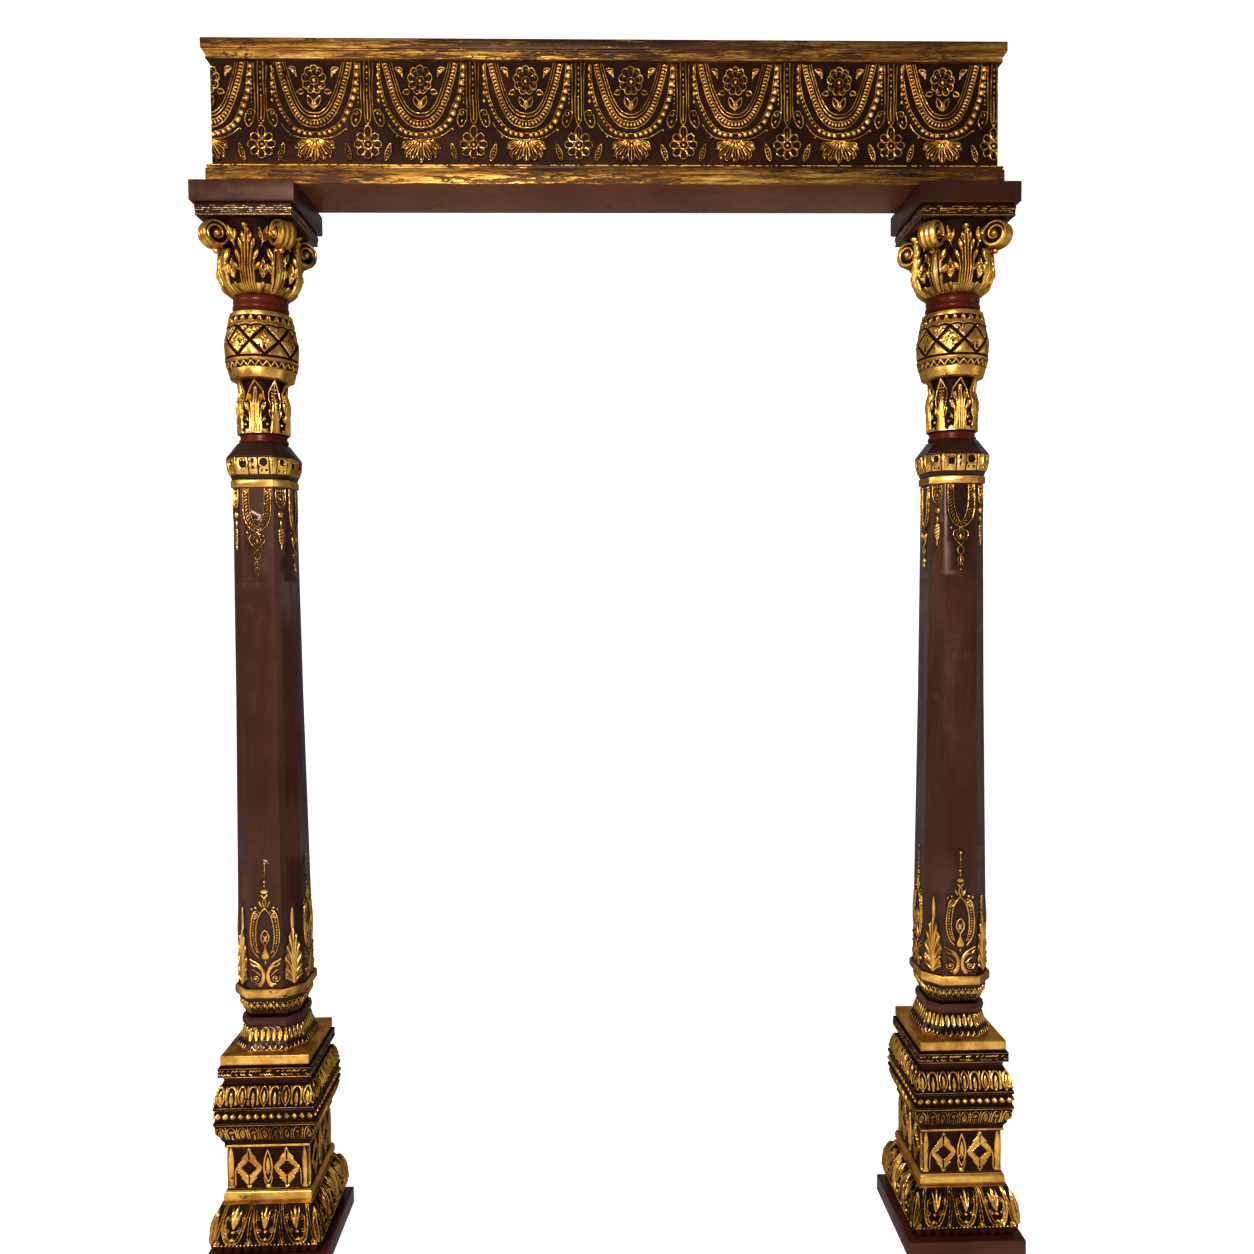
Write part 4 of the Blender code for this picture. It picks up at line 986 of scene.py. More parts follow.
def moulded_slab(name, node_name, rows, slot, *finishes, under=True):
    """A board or slab drawn up from a plane; rows are (height, set-back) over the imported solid's box.

    A second finish goes on the underside, or on the top where under is off."""
    low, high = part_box(node_name)
    centre = (low + high) / 2
    size = high - low
    bpy.ops.object.select_all(action="DESELECT")
    bpy.ops.mesh.primitive_plane_add(size=1, location=(centre.x, centre.y, low.z))
    made = bpy.context.object
    made.name = made.data.name = name
    x, y = size.x - 2 * rows[0][1], size.y - 2 * rows[0][1]
    bpy.ops.object.mode_set(mode="EDIT")
    bpy.ops.mesh.select_all(action="SELECT")
    bpy.ops.transform.resize(value=(x, y, 1), center_override=(centre.x, centre.y, low.z))
    bpy.ops.mesh.flip_normals()
    for (z0, back0), (z1, back1) in zip(rows, rows[1:]):
        bpy.ops.mesh.extrude_region_move(TRANSFORM_OT_translate={"value": (0, 0, z1 - z0)})
        bpy.ops.transform.resize(value=((size.x - 2 * back1) / (size.x - 2 * back0),
                                        (size.y - 2 * back1) / (size.y - 2 * back0), 1),
                                 center_override=(centre.x, centre.y, low.z + z1))
    bpy.ops.mesh.select_all(action="SELECT")
    bpy.ops.mesh.normals_make_consistent(inside=False)
    bpy.ops.object.mode_set(mode="OBJECT")
    only(made)
    bpy.ops.object.transform_apply(location=True, rotation=True, scale=True)
    round_edges = made.modifiers.new("worn_edges", "BEVEL")
    round_edges.width = 0.6 * MM
    round_edges.segments = 2
    round_edges.limit_method = "ANGLE"
    round_edges.angle_limit = math.radians(25)
    bpy.ops.object.modifier_apply(modifier=round_edges.name)
    bpy.ops.object.shade_smooth_by_angle(angle=math.radians(35))
    put(made, slot, *finishes)
    if len(finishes) > 1:
        plain = 1 if under else -1
        for face in made.data.polygons:
            if face.normal.z * plain < -0.9 and face.area > 0.1:
                face.material_index = 1
    return made


def shares(height, rows):
    """Rows of a board whose heights are given as shares of its thickness."""
    return [(share * height, back) for share, back in rows]


BOTTOM_BOARD = shares(0.0417, (
    (0, 0.0010), (0.024, 0), (0.79, 0), (0.79, 0.0030), (0.89, 0.0030), (0.89, 0.0015), (0.985, 0.0015),
    (1, 0.0022)))
TOP_BOARD = shares(0.0400, (
    (0, 0.0075), (0.088, 0.0065), (0.10, 0.0085), (0.19, 0.0080), (0.30, 0.0050), (0.375, 0.0045),
    (0.387, 0.0025), (0.462, 0.0025), (0.475, 0), (0.98, 0), (1, 0.0010)))
moulded_slab("lintel_bottom_board_carved", "lintel_bottom_board", BOTTOM_BOARD, "gilding", BOARD_GOLD,
             BARE_WOOD)
moulded_slab("lintel_top_board_carved", "lintel_top_board", TOP_BOARD, "gilding", BOARD_GOLD, BARE_WOOD,
             under=False)
for side in ("left", "right"):
    moulded_slab(side + "_plinth_carved", side + "_plinth", (
        (0, 0.0004), (0.0006, 0), (0.0375, 0), (0.0390, 0.0015)), "lacquer", SLAB_LACQUER)


# Columns

def draw_foot_tabs(r):
    """Lacquered leaf tips hang over the recess under the leaf foot."""
    for i in range(-5, 6):
        x = i * 19.6
        r.body([(1.5, 0.8), (6, 4.5), (12, 7.4), (21, 8.6)], 5.5, 1.6, x, 0.0)
    r.ground += 0.35


def draw_leaf_foot(r):
    """Large U leaves with a fan of petals, scrolls and hatching, darts between them and small beads below."""
    for x in (-104, -35.3, 35.3, 104):
        for side in (-1, 1):
            tip = [(x * 0.80 + side * 2.0, 82), (x * 0.93 + side * 2.6, 40), (x + side * 2.6, 17)]
            r.line(tip, 0.95, 4.4)
        r.bead(x, 10, 3.0, 4.4, 5.2)
        r.ring(x, 10, 5.4, 0.9, 3.6)
    for x in (-70.6, 0, 70.6):
        lean = x * 0.0022
        for half, low, width, tall in ((31, 8, 1.4, 5.6), (24.5, 16, 1.0, 4.6)):
            points = hanging(half, 82, low, 3.4, 26)
            rise = points[:, 1] / 84
            points[:, 0] = points[:, 0] * (1 - 0.16 * rise) + x * (1 - 0.17 * rise ** 1.5)
            r.line(points, width, tall)
        top = x * 0.86
        for turn, length, wide in ((0.0, 44, 3.6), (0.24, 40, 3.0), (-0.24, 40, 3.0)):
            r.leaf(x * 0.93, 38, turn - lean, length, wide, 5.6, 1.3, 0.9, 0, 1.0, 0.7, 1.0)
        r.bead(x * 0.96, 33, 3.8, 4.0, 6.0)
        r.bead(x, 17, 3.4, 4.4, 6.0)
        for side in (-1, 1):
            r.line(scroll(x * 0.96 + side * 12.5, 36, 6.4, 1.2, math.pi / 2, -1.35 * side, 20), 1.0, 4.8)
            r.line(scroll(top + side * 14.5, 60, 5.6, 1.2, math.pi / 2, -1.25 * side, 18), 0.95, 4.4)
            r.line(curve([(x * 0.96 + side * 18, 24), (x * 0.94 + side * 20, 42), (top + side * 20, 62)]),
                   0.8, 3.4)
            r.line([(x + side * 3, 10), (x + side * 10, 18), (x + side * 15, 27)], 1.0, 4.4)
    for side in (-1, 1):
        r.leaf(side * 113, 8, side * -0.19, 72, 5.4, 5.6, 1.4, 0.3, 0.9, 0.9, 0.7, 0.0)
    r.beads([(-112, 4.2), (112, 4.2)], 8.0, 2.2, 2.4, 4.0, 2.4)
    r.line([(-118, 83.0), (118, 83.0)], 1.0, 1.6, 0.8)


def draw_die(r):
    """Two leafy four-pointed stars round dark diamonds, a spindle leaf, and half-round corner posts."""
    r.ground += 0.55
    for x in (-40.0, 40.0):
        dx, dz = np.abs(r.x - x), np.abs(r.z - 48)
        notch = 1 + 0.06 * np.sin((dx + dz) * 0.95) * (dz > 6)
        outer = ((dx / 29.5) ** 0.98 + (dz / 47.0) ** 0.98) * notch
        inner = dx / 17.5 + dz / 17.5
        split = np.clip(1.8 - dx, 0, 1) * (dz < 38)
        depth = np.minimum((1 - outer) * 11, (inner - 1) * 7)
        shape = np.sqrt(np.clip(1 - (1 - np.clip(depth / 1.6, 0, 1)) ** 2, 0, 1))
        veins = 0.5 + 0.5 * np.cos((dx * 0.9 - dz * 0.55) * 0.85)
        tall = 4.4 * shape * (0.70 + 0.30 * veins) * (1 - 0.9 * split)
        r.raise_to(WHOLE, np.where(depth > 0, tall, -1),
                   np.clip(depth / 0.7 + 0.25, 0, 1) * (1 - split) * np.clip(0.45 + veins * 1.4, 0, 1))
        r.line([(x - 17.5, 48), (x, 65.5), (x + 17.5, 48), (x, 30.5), (x - 17.5, 48)], 1.0, 4.0)
        r.bead(x, 48, 3.0, 3.0, 2.6, gold=0.30)
    r.leaf(0, 14, 0, 78, 11.0, 4.4, 2.4, 0.12, 0, 0.85, 0.8)
    r.leaf(0, 30, 0, 44, 4.6, 3.4, 1.2, 0.7, 0, 1.0, 0.8, 0.4)
    r.bead(0, 6.5, 6.4, 6.0, 5.0)
    for side in (-1, 1):
        r.line(curve([(side * 4.5, 40), (side * 8.5, 26), (side * 5.5, 12)]), 1.6, 3.6)
        r.line(curve([(side * 66, 52), (side * 69.5, 40), (side * 70.5, 22), (side * 70, 9)]), 1.2, 2.8)
        r.body([(8, 5.0), (14, 3.8), (40, 5.2), (66, 5.6), (84, 3.6), (95, 0.6)], 4.4, 5.2, side * 79.0)
        r.bead(side * 79, 6, 7.0, 3.6, 4.2, 0, 3)
        r.line([(side * 85.6, 94), (side * 85.6, 3)], 0.8, 1.6, 0.8)
    r.line([(-86, 1.2), (86, 1.2)], 0.7, 1.0, 0.5)


def draw_leaf_band(r):
    """Arched leaves in thin lines over a ribbed bronze hollow."""
    r.line([(-95, 3.5), (95, 3.5)], 2.6, 1.0, 0.95)
    lines = np.clip(np.sin(r.x * 1.35 + 0.02 * r.z), 0, 1)
    lines = lines * np.clip((r.z - 14) / 6, 0, 1) * np.clip((40 - r.z) / 8, 0, 1)
    r.height += 0.7 * lines
    r.gold += 0.62 * lines
    for i in range(-4, 5):
        x = i * 23.6
        r.line(curve([(x * 0.97 - 9, 24), (x - 9.4, 40), (x - 5.5, 50), (x, 53), (x + 5.5, 50), (x + 9.4, 40),
                      (x * 0.97 + 9, 24)]),
               1.1, 3.0)
        if i % 2:
            r.line(scroll(x, 40, 5.4, 1.0, 0.0, 1.25, 16), 1.0, 2.8)
            r.line([(x, 20), (x, 33)], 1.0, 2.4, 1.0, 0.4)
        else:
            r.leaf(x, 26, 0, 23, 4.6, 2.8, 1.1, 0.3, 0.9, 0.9, 0.7)
    for i in range(-4, 4):
        x = (i + 0.5) * 23.6
        r.line([(x, 54), (x * 0.98, 34)], 0.8, 2.4, 1.0, 0.5)
        r.bead(x, 46, 1.6, 3.2, 2.4)


def draw_fascia(r):
    """A row of lozenge beads between two fillets."""
    for i in range(-6, 7):
        x = i * 16.35
        r.bead(x, 20.2, 6.6, 7.2, 5.4, 0.0, 1.25)
        r.bead(x, 20.2, 4.4, 4.8, 6.2)
    for z in (1.2, 5.6, 34.9, 39.4):
        r.line([(-110, z), (110, z)], 0.7, 0.5, 0.66)


def draw_crown(r):
    """Leaves and arches on the ovolo, a row of small drops below them and a plain hollow above."""
    for i in range(-4, 5):
        x = i * 23.0
        if i % 2 == 0:
            r.leaf(x, 4.5, 0, 39, 10.0, 3.8, 1.7, 0.12, 0, 0.95, 0.62)
            r.leaf(x, 8, 0, 26, 3.6, 3.4, 1.4, 0.9, 0, 0.9, 0.7, 1.0)
        else:
            r.line(curve([(x - 9.0, 6), (x - 10.0, 22), (x - 7.5, 36), (x, 41), (x + 7.5, 36), (x + 10.0, 22),
                          (x + 9.0, 6)]),
                   2.1, 3.8)
            r.leaf(x, 6, 0, 26, 4.2, 3.4, 1.6, 0.9, 0, 0.7, 0.7, 1.0)
        r.bead(x, 3.6, 2.6, 3.0, 3.4)
    for i in range(-4, 4):
        x = (i + 0.5) * 23.0
        r.line([(x, 41), (x, 20)], 1.5, 3.2, 1.0, 0.6)
        r.bead(x, 9, 1.8, 3.6, 3.0)
    for side in (-1, 1):
        r.leaf(side * 104, 6, side * -0.12, 33, 6.0, 3.6, 1.6, 0.4, 0, 0.9, 0.7, 0.3)
    r.ground += np.clip((r.z - 43) / 3, 0, 1) * 0.45


def pedestal_piece():
    columns = int(236 / GRID) + 1
    m = Moulding(square_section(columns), GRID * MM)
    m.band(rows_of(0.0210, 0.1100, ((0, 0), (1, 0))), draw_foot_tabs)
    m.band(rows_of(0.0837, 0.1178, ((0, 0), (0.60, 0.0043), (0.81, 0.0118), (1, 0.0228))), draw_leaf_foot)
    m.band(rows_of(0.0270, 0.0957, ((0, 0.0040), (0.07, 0.0038), (0.10, 0.0026), (0.20, 0.0010),
                                    (0.34, 0.0001), (0.5, 0), (0.68, 0.0002), (0.84, 0.0012), (0.93, 0.0028),
                                    (0.95, 0.0037), (1, 0.0037))), gold=1.0)
    m.band(rows_of(0.0963, 0.0868, ((0, 0), (1, 0))), draw_die)
    m.band(rows_of(0.0572, 0.1078,
                   ((0, 0.0158), (0.21, 0.0154), (0.31, 0.0120), (0.57, 0.0060), (0.97, 0), (1, 0))),
           draw_leaf_band)
    m.band(rows_of(0.0405, 0.1095, ((0, 0), (0.16, 0), (0.16, 0.0028), (0.84, 0.0028), (0.84, 0), (1, 0))),
           draw_fascia)
    m.band(rows_of(0.0616, 0.1063,
                   ((0, 0), (0.02, 0), (0.325, 0.0028), (0.69, 0.0113), (0.71, 0.0143), (0.86, 0.0161),
                    (1, 0.0133))), draw_crown)
    made = wrapped("left_pedestal_carved", m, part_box("left_pedestal")[0].z, PEDESTAL_BUDGET)
    for piece in both_sides(made):
        put(piece, "gilded_carving", CARVING)


def draw_cap_dashes(r):
    """Two rubbed rows of short gilded strokes, like a worn rope."""
    rng = np.random.default_rng(31)
    for z, lean in ((14.5, 2.4), (6.5, -2.4)):
        x = -98.0
        while x < 98:
            long = rng.uniform(3.0, 6.0)
            if rng.random() < 0.78:
                r.line([(x, z - lean * 0.5), (x + long, z + lean * 0.5)], rng.uniform(0.8, 1.5), 1.1,
                       rng.uniform(0.7, 1.0))
            x += long + rng.uniform(0.6, 2.4)
    r.line([(-100, 1.2), (100, 1.2)], 0.9, 0.8, 0.7)
    r.line([(-100, 20.2), (100, 20.2)], 0.9, 0.8, 0.62)


def cap_piece():
    m = Moulding(square_section(int(200 / GRID) + 1), GRID * MM)
    m.band(rows_of(0.0215, 0.1002, ((0, 0.0008), (0.04, 0), (0.95, 0), (1, 0.0010))), draw_cap_dashes)
    m.band(rows_of(0.0041, 0.0930, ((0, 0), (1, 0))))
    m.band(rows_of(0.0212, 0.0958, ((0, 0.0008), (0.04, 0), (0.95, 0), (1, 0.0010))), gold=1.0)
    made = wrapped("left_pedestal_cap_carved", m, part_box("left_pedestal_cap")[0].z, CAP_BUDGET)
    for piece in both_sides(made):
        put(piece, "gilding", CARVING)


def draw_flare(r):
    """Upright leaf strokes over a dark hollow, and a scalloped gilded edge below."""
    reach = r.x.max()
    count = 7 if reach > 36 else 5
    for i in range(count):
        x = (i - (count - 1) / 2) * (2 * reach / count)
        r.leaf(x, 20, 0, 27, reach / count * 0.82, 2.2, 1.2, 0.7, 0, 0.9, 0.7, 1.0)
        r.bead(x, 23, 1.4, 4.0, 2.0)
        r.line(hanging(reach / count * 0.95, 9.5, 3.2, 2.0, 8, x), 1.1, 1.8)
        r.bead(x + reach / count, 11, 1.6, 2.6, 1.6, gold=0.8)
    r.line([(-reach, 1.2), (reach, 1.2)], 1.0, 0.8, 0.75)


def draw_bell(r):
    """A zigzag of small leaves over ribs that fade to bronze."""
    reach = r.x.max()
    ribs = np.clip(np.sin(r.x * 1.9), 0, 1) * np.clip((34 - r.z) / 14, 0, 1) * np.clip(r.z / 8, 0, 1)
    r.height += 0.8 * ribs
    r.gold += 0.68 * ribs
    count = 6 if reach > 36 else 4
    pitch = 2 * reach / count
    for i in range(count):
        x = (i - (count - 1) / 2) * pitch
        r.line([(x - pitch * 0.46, 24), (x, 37), (x + pitch * 0.46, 24)], 1.3, 2.6)
        r.bead(x, 27, pitch * 0.20, 4.6, 2.8)
        r.bead(x - pitch * 0.5, 36, 1.8, 2.6, 2.2)
        r.bead(x - pitch * 0.5, 21, 2.0, 3.6, 2.4)


def draw_shaft_foot(r):
    """Scroll leaves, a pointed wreath round a diamond leaf, and a bead spire."""
    r.bold = 1.30
    r.line([(0.6, 222), (1.2, 276)], 0.6, 1.0, 0.7)
    for x, z, size in ((1.6, 278, 3.2), (1.4, 262, 2.2), (0.6, 250, 1.6), (0.2, 237, 2.8), (0, 228, 1.8)):
        r.bead(x, z, size, size * 1.1, 3.2)
    for turn in (-0.9, -0.3, 0.3, 0.9):
        r.leaf(0, 211, turn, 11, 2.6, 3.0, 1.1, 0.8, 0, 0.9, 0.7, 1.0)
    for turn in (-0.75, 0.75):
        r.leaf(0, 201, turn, 12, 2.4, 3.0, 1.0, 0.8, 0, 0.9, 0.7, 1.0)
    r.leaf(0, 180, 0, 25, 4.8, 3.2, 1.2, 0.3, 0.8, 0.9, 0.7)
    for side in (-1, 1):
        r.leaf(side * 5, 180, side * 0.42, 18, 2.8, 3.0, 1.1, 0.8, 0, 0.9, 0.7, 1.0)
        inner = curve([(0, 179), (side * 8, 170), (side * 15, 155), (side * 19, 135), (side * 20, 112),
                       (side * 17, 92), (side * 13, 80)])
        outer = curve([(side * 15, 174), (side * 23, 170), (side * 27, 158), (side * 29.5, 140),
                       (side * 31, 122), (side * 29, 100), (side * 23, 82), (side * 13.5, 70)])
        r.line(inner, 1.3, 3.4)
        r.line(outer, 1.3, 3.4)
        middle = curve([(side * 10, 172), (side * 20, 160), (side * 24, 145), (side * 25.5, 122),
                        (side * 23.5, 100), (side * 17, 80)])
        r.beads(middle, 6.2, 2.0, 2.6, 3.0, 2.5)
        r.ring(side * 21, 163, 5.4, 1.2, 3.4)
        r.bead(side * 21, 163, 2.4, 2.4, 3.2)
        r.bead(side * 19, 180, 2.8, 3.6, 3.2, side * 0.6)
        r.bead(side * 27.5, 177, 1.8, 3.6, 3.0, side * -0.3)
        # scroll leaves at the foot
        stem = curve([(side * 12, 9), (side * 6.5, 18), (side * 4.5, 32), (side * 9, 46), (side * 17, 56),
                      (side * 27, 62), (side * 34, 67)])
        r.line(stem, 4.4, 3.6, 1.0, 0.78)
        r.line(curve([(side * 8, 42), (side * 17, 50), (side * 26, 52), (side * 31, 58)]), 2.0, 3.0, 1.0, 0.5)
        r.line(curve([(side * 12, 30), (side * 22, 40), (side * 31, 45)]), 1.2, 2.6, 1.0, 0.5)
        r.line(scroll(side * 21.5, 24, 9.6, 1.4, math.pi / 2 - side * 1.2, -1.5 * side, 26), 1.25, 3.2)
        r.bead(side * 21.5, 24, 2.2, 2.2, 3.0)
        r.line(curve([(side * 12, 10), (side * 17, 12), (side * 22, 11)]), 1.4, 3.0)
    r.leaf(0, 95, 0, 37, 10.5, 3.4, 1.5, 0.25, 0, 1.05, 0.75)
    for step in range(-2, 3):
        r.line([(-4 + step, 107 + step * 3), (4 + step, 115 + step * 3)], 0.6, 2.2, 0.9)
        r.line([(4 - step, 107 + step * 3), (-4 - step, 115 + step * 3)], 0.6, 2.2, 0.9)
    r.line([(0, 90), (0, 97)], 1.4, 3.0)
    r.body([(65, 2.5), (67, 6.5), (71, 8.6), (76, 7.8), (84, 4.0), (93, 1.0)], 3.2, 2.4, 0.0)
    r.hole(0, 65, 2.2, 3.4, 2.0)
    r.bead(0, 58, 1.8, 4.2, 2.8)
    r.ground[:] = 1.0


def draw_shaft_foot_corner(r):
    """An acanthus of smooth lobes that rise from one stem to a long knobbed tip, on each chamfer."""
    r.body([(5, 3), (11, 8), (18, 18), (27, 20.5), (33, 19), (38, 14), (46, 17), (60, 20.5), (70, 20),
            (75, 14), (86, 17), (93, 15.5), (98, 9.5), (108, 11), (114, 9.5), (119, 5), (128, 2.6)], 3.0, 1.6,
           0.0, 0.40)
    for side in (-1, 1):
        for wide, top in ((17.0, 22), (16.4, 43), (16.8, 65), (12.6, 89), (7.4, 111)):
            rib = curve([(side * 1.2, 7), (side * wide * 0.16, top * 0.42), (side * wide * 0.52, top * 0.78),
                         (side * wide, top)])
            r.line(rib, 2.8, 6.4, 1.0, -0.10)
    r.line([(0, 7), (0, 126)], 2.6, 7.0, 1.0, 0.35)
    tip = np.arange(124, 178, 1.5)
    knobs = np.interp(tip, [124, 134, 150, 166, 178], [2.6, 4.8, 4.6, 3.4, 0.8])
    knobs = knobs * (0.84 + 0.16 * np.abs(np.sin(tip * 0.42)))
    r.body(list(zip(tip, knobs)), 4.0, 2.4)
    r.line(scroll(-13.5, 35, 6.6, 1.6, 0.6, 1.2, 20), 1.7, 4.4)
    r.ground[:] = 1.0


def draw_shaft_head(r):
    """A garland of two twisted lines, a heart with a drop, and loops under it."""
    top = r.z.max()
    outer = curve([(-28, top - 3), (-28, top - 40), (-26, top - 66), (-17, top - 86), (0, top - 97),
                   (17, top - 88), (27, top - 70), (29.5, top - 42), (29, top - 3)])
    inner = curve([(-16, top - 3), (-15.5, top - 38), (-11, top - 64), (0, top - 86), (12, top - 66),
                   (16, top - 42), (17, top - 3)])
    r.line(outer, 1.3, 3.2)
    r.line(inner, 1.1, 2.8)
    middle = (curve([(-22, top - 4), (-22, top - 40), (-18.5, top - 66), (-9, top - 84), (0, top - 91),
                     (10, top - 84), (20, top - 66), (22.5, top - 42), (22.5, top - 4)]))
    for x, z, turn in along_line(middle, 7.0):
        r.line([(x - 3.6 * math.cos(turn - 0.7), z + 3.6 * math.sin(turn - 0.7)),
                (x + 3.6 * math.cos(turn - 0.7), z - 3.6 * math.sin(turn - 0.7))], 1.3, 3.0)
    r.beads(outer, 9.0, 1.6, 2.2, 3.6)
    for side in (-1, 1):
        r.ring(side * 22, top - 7, 4.4, 1.1, 3.2)
        r.line(curve([(0, top - 98), (side * 6, top - 103), (side * 14, top - 106), (side * 16, top - 115),
                      (side * 9, top - 127), (0, top - 137)]), 1.3, 3.2)
        r.line(curve([(0, top - 104), (side * 7, top - 109), (side * 8, top - 117), (side * 3, top - 125)]),
               1.0, 2.6)
        r.line(curve([(0, top - 137), (side * 6, top - 144), (side * 6, top - 152), (0, top - 158)]), 1.1,
               2.8)
        r.line(curve([(0, top - 160), (side * 5, top - 165), (side * 6, top - 171)]), 1.1, 2.6)
        r.line(curve([(0, top - 172), (side * 4, top - 177), (side * 5, top - 183)]), 1.0, 2.4)
    r.bead(-21, top - 98, 2.4, 3.4, 2.8)
    r.bead(0, top - 117, 3.4, 6.4, 3.6)
    r.line([(0, top - 156), (0, top - 182)], 1.0, 2.6)
    r.bead(1, top - 190, 1.6, 1.8, 2.4)
    r.ground[:] = 1.0


def draw_shaft_head_corner(r):
    """A small cup with a heart, a bead and a long twisted tassel on each chamfer."""
    top = r.z.max()
    r.line(curve([(-10, top - 5), (-10.5, top - 24), (-7, top - 38), (0, top - 44), (7, top - 38),
                  (10.5, top - 24), (10, top - 5)]),
           1.3, 3.2)
    r.line(curve([(-6, top - 16), (-5.5, top - 28), (0, top - 36), (5.5, top - 28), (6, top - 16)]), 1.0, 2.8)
    r.bead(0, top - 26, 2.6, 3.8, 3.4)
    for x in (-6, 0, 6):
        r.bead(x, top - 8, 1.8, 3.0, 3.0)
        r.bead(x * 0.8, top - 15, 1.6, 2.0, 2.8)
    r.bead(0, top - 59, 6.4, 7.4, 3.8)
    r.cut([(0, top - 52), (0, top - 66)], 0.7, 1.4)
    r.bead(0, top - 78, 3.0, 8.0, 3.4)
    r.body([(top - 126, 1.2), (top - 120, 5.6), (top - 104, 7.2), (top - 92, 6.4), (top - 86, 2.0)], 3.6, 3.0)
    for step in range(5):
        z = top - 118 + step * 7
        r.cut([(-7, z - 3), (7, z + 4)], 0.8, 1.2)
    r.bead(0, top - 131, 2.0, 7.0, 3.0)
    r.ground[:] = 1.0


def draw_collar(r):
    """Gilded frames round dark holes over a lacquered hollow."""
    reach = r.x.max()
    r.ground += 0.4 * (r.z < 10)
    edge = 0.97 * reach
    r.plate(-edge, edge, 10.5, 46.8, 1.6)
    if reach > 30:
        r.hole(-24.0, 34, 7.6, 10.0, 3.0, 4)
        r.line([(-31, 45), (-27, 38), (-24, 44), (-21, 38), (-17, 45)], 1.2, 1.8)
        r.leaf(-24, 12, 0, 13, 3.4, 2.4, 1.2, 0.8, 0, 0.9, 0.7, 1.0)
        r.hole(-3.5, 39, 3.0, 4.6, 3.0)
        r.hole(-3.5, 25, 2.4, 4.6, 2.4)
        r.ring(-3.5, 39, 5.0, 1.1, 2.6)
        r.ring(-3.5, 25, 4.4, 1.0, 2.4)
        r.hole(20.0, 36, 8.2, 9.0, 3.2, 2.2)
        r.hole(15.0, 19, 2.6, 3.4, 2.0)
        r.hole(25.0, 19, 2.6, 3.4, 2.0)
        r.bead(20, 19, 2.0, 3.6, 2.4)
        for x in (-12.6, 7.6, 32.0):
            r.cut([(x, 47), (x, 11)], 1.3, 2.4)
    else:
        r.hole(1.0, 36, 5.4, 7.6, 3.0, 2.4)
        r.ring(1.0, 36, 7.8, 1.1, 2.4)
        r.hole(-4.5, 17, 2.0, 3.4, 2.0)
        r.hole(6.0, 17, 2.4, 4.0, 2.0)
        for x in (-11.0, 12.0):
            r.cut([(x, 47), (x, 11)], 1.2, 2.4)
    r.gold *= 1 - 0.9 * np.clip((smooth_noise(r.x.shape, (9, 16), 41) - 0.78) * 12, 0, 1)


# The chamfered shaft: its length, the carved shares of it, and the share at which its taper changes
SHAFT_LENGTH = 1.0992
FOOT_SHARE, HEAD_SHARE = 0.265, 0.190
BELOW_BEND, ABOVE_BEND = 0.579, 0.421
HALF_AT_FOOT, HALF_AT_BEND, HALF_AT_HEAD = 0.0735, 0.0633, 0.0586


def shaft_piece():
    face = 0.0352
    m = Moulding(eight_section(int(80 / GRID) + 1, int(56 / GRID) + 1), GRID * MM)

    def rows(height, half, shares_):
        return [(share * height, half - back, face + wide) for share, back, wide in shares_]

    m.band(rows(0.0490, 0.0774,
                ((0, 0, 0.0091), (0.12, 0, 0.0091), (0.45, 0.0079, 0.0062), (1, 0.0168, 0.0028))),
           (draw_flare, draw_flare))
    m.band(rows(0.0211, 0.0662,
                ((0, 0.0030, 0.0038), (0.07, 0.0018, 0.0040), (0.55, 0, 0.0048), (1, 0.0022, 0.0038))),
           ground=1.0)
    m.band(rows(0.0484, 0.0712, ((0, 0.0160, 0.0023), (0.50, 0.0052, 0.0052), (1, 0, 0.0063))),
           (draw_bell, draw_bell))
    m.band(rows(0.0201, 0.0785,
                ((0, 0.0023, 0.0073), (0.20, 0, 0.0078), (0.85, 0, 0.0078), (1, 0.0008, 0.0073))), gold=1.0)
    low_half = HALF_AT_FOOT + (HALF_AT_BEND - HALF_AT_FOOT) * FOOT_SHARE / BELOW_BEND
    high_half = HALF_AT_HEAD + (HALF_AT_BEND - HALF_AT_HEAD) * HEAD_SHARE / ABOVE_BEND
    m.band([(0, HALF_AT_FOOT, face), (SHAFT_LENGTH * FOOT_SHARE, low_half, face)],
           (draw_shaft_foot, draw_shaft_foot_corner))
    m.band([(0, low_half, face), (SHAFT_LENGTH * (BELOW_BEND - FOOT_SHARE), HALF_AT_BEND, face),
            (SHAFT_LENGTH * (1 - HEAD_SHARE - FOOT_SHARE), high_half, face)], step=0.02, ground=1.0)
    m.band([(0, high_half, face), (SHAFT_LENGTH * HEAD_SHARE, HALF_AT_HEAD, face)],
           (draw_shaft_head, draw_shaft_head_corner))
    m.band(rows(0.0162, 0.0632,
                ((0, 0.0010, 0.0006), (0.1, 0, 0.0010), (0.9, 0, 0.0010), (1, 0.0010, 0.0006))), gold=1.0)
    m.band(rows(0.0483, 0.0704,
                ((0, 0.0110, 0.0004), (0.02, 0.0100, 0.0005), (0.22, 0.0066, 0.0023), (0.54, 0.0020, 0.0038),
                 (1, 0, 0.0045))), (draw_collar, draw_collar))
    m.band(rows(0.0330, 0.0704,
                ((0, 0.0014, 0.0041), (0.07, 0.0014, 0.0041), (0.51, 0.0122, 0.0010), (1, 0.0234, -0.0032))),
           ground=0.55)
    made = wrapped("left_shaft_carved", m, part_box("left_shaft")[0].z, SHAFT_BUDGET)
    for piece in both_sides(made):
        put(piece, "lacquer", COLUMN_LACQUER)


# Radii of the cylinders on which the reliefs of the cup and the bulb are drawn
CUP_REACH = 0.0500
BULB_REACH = 0.0730


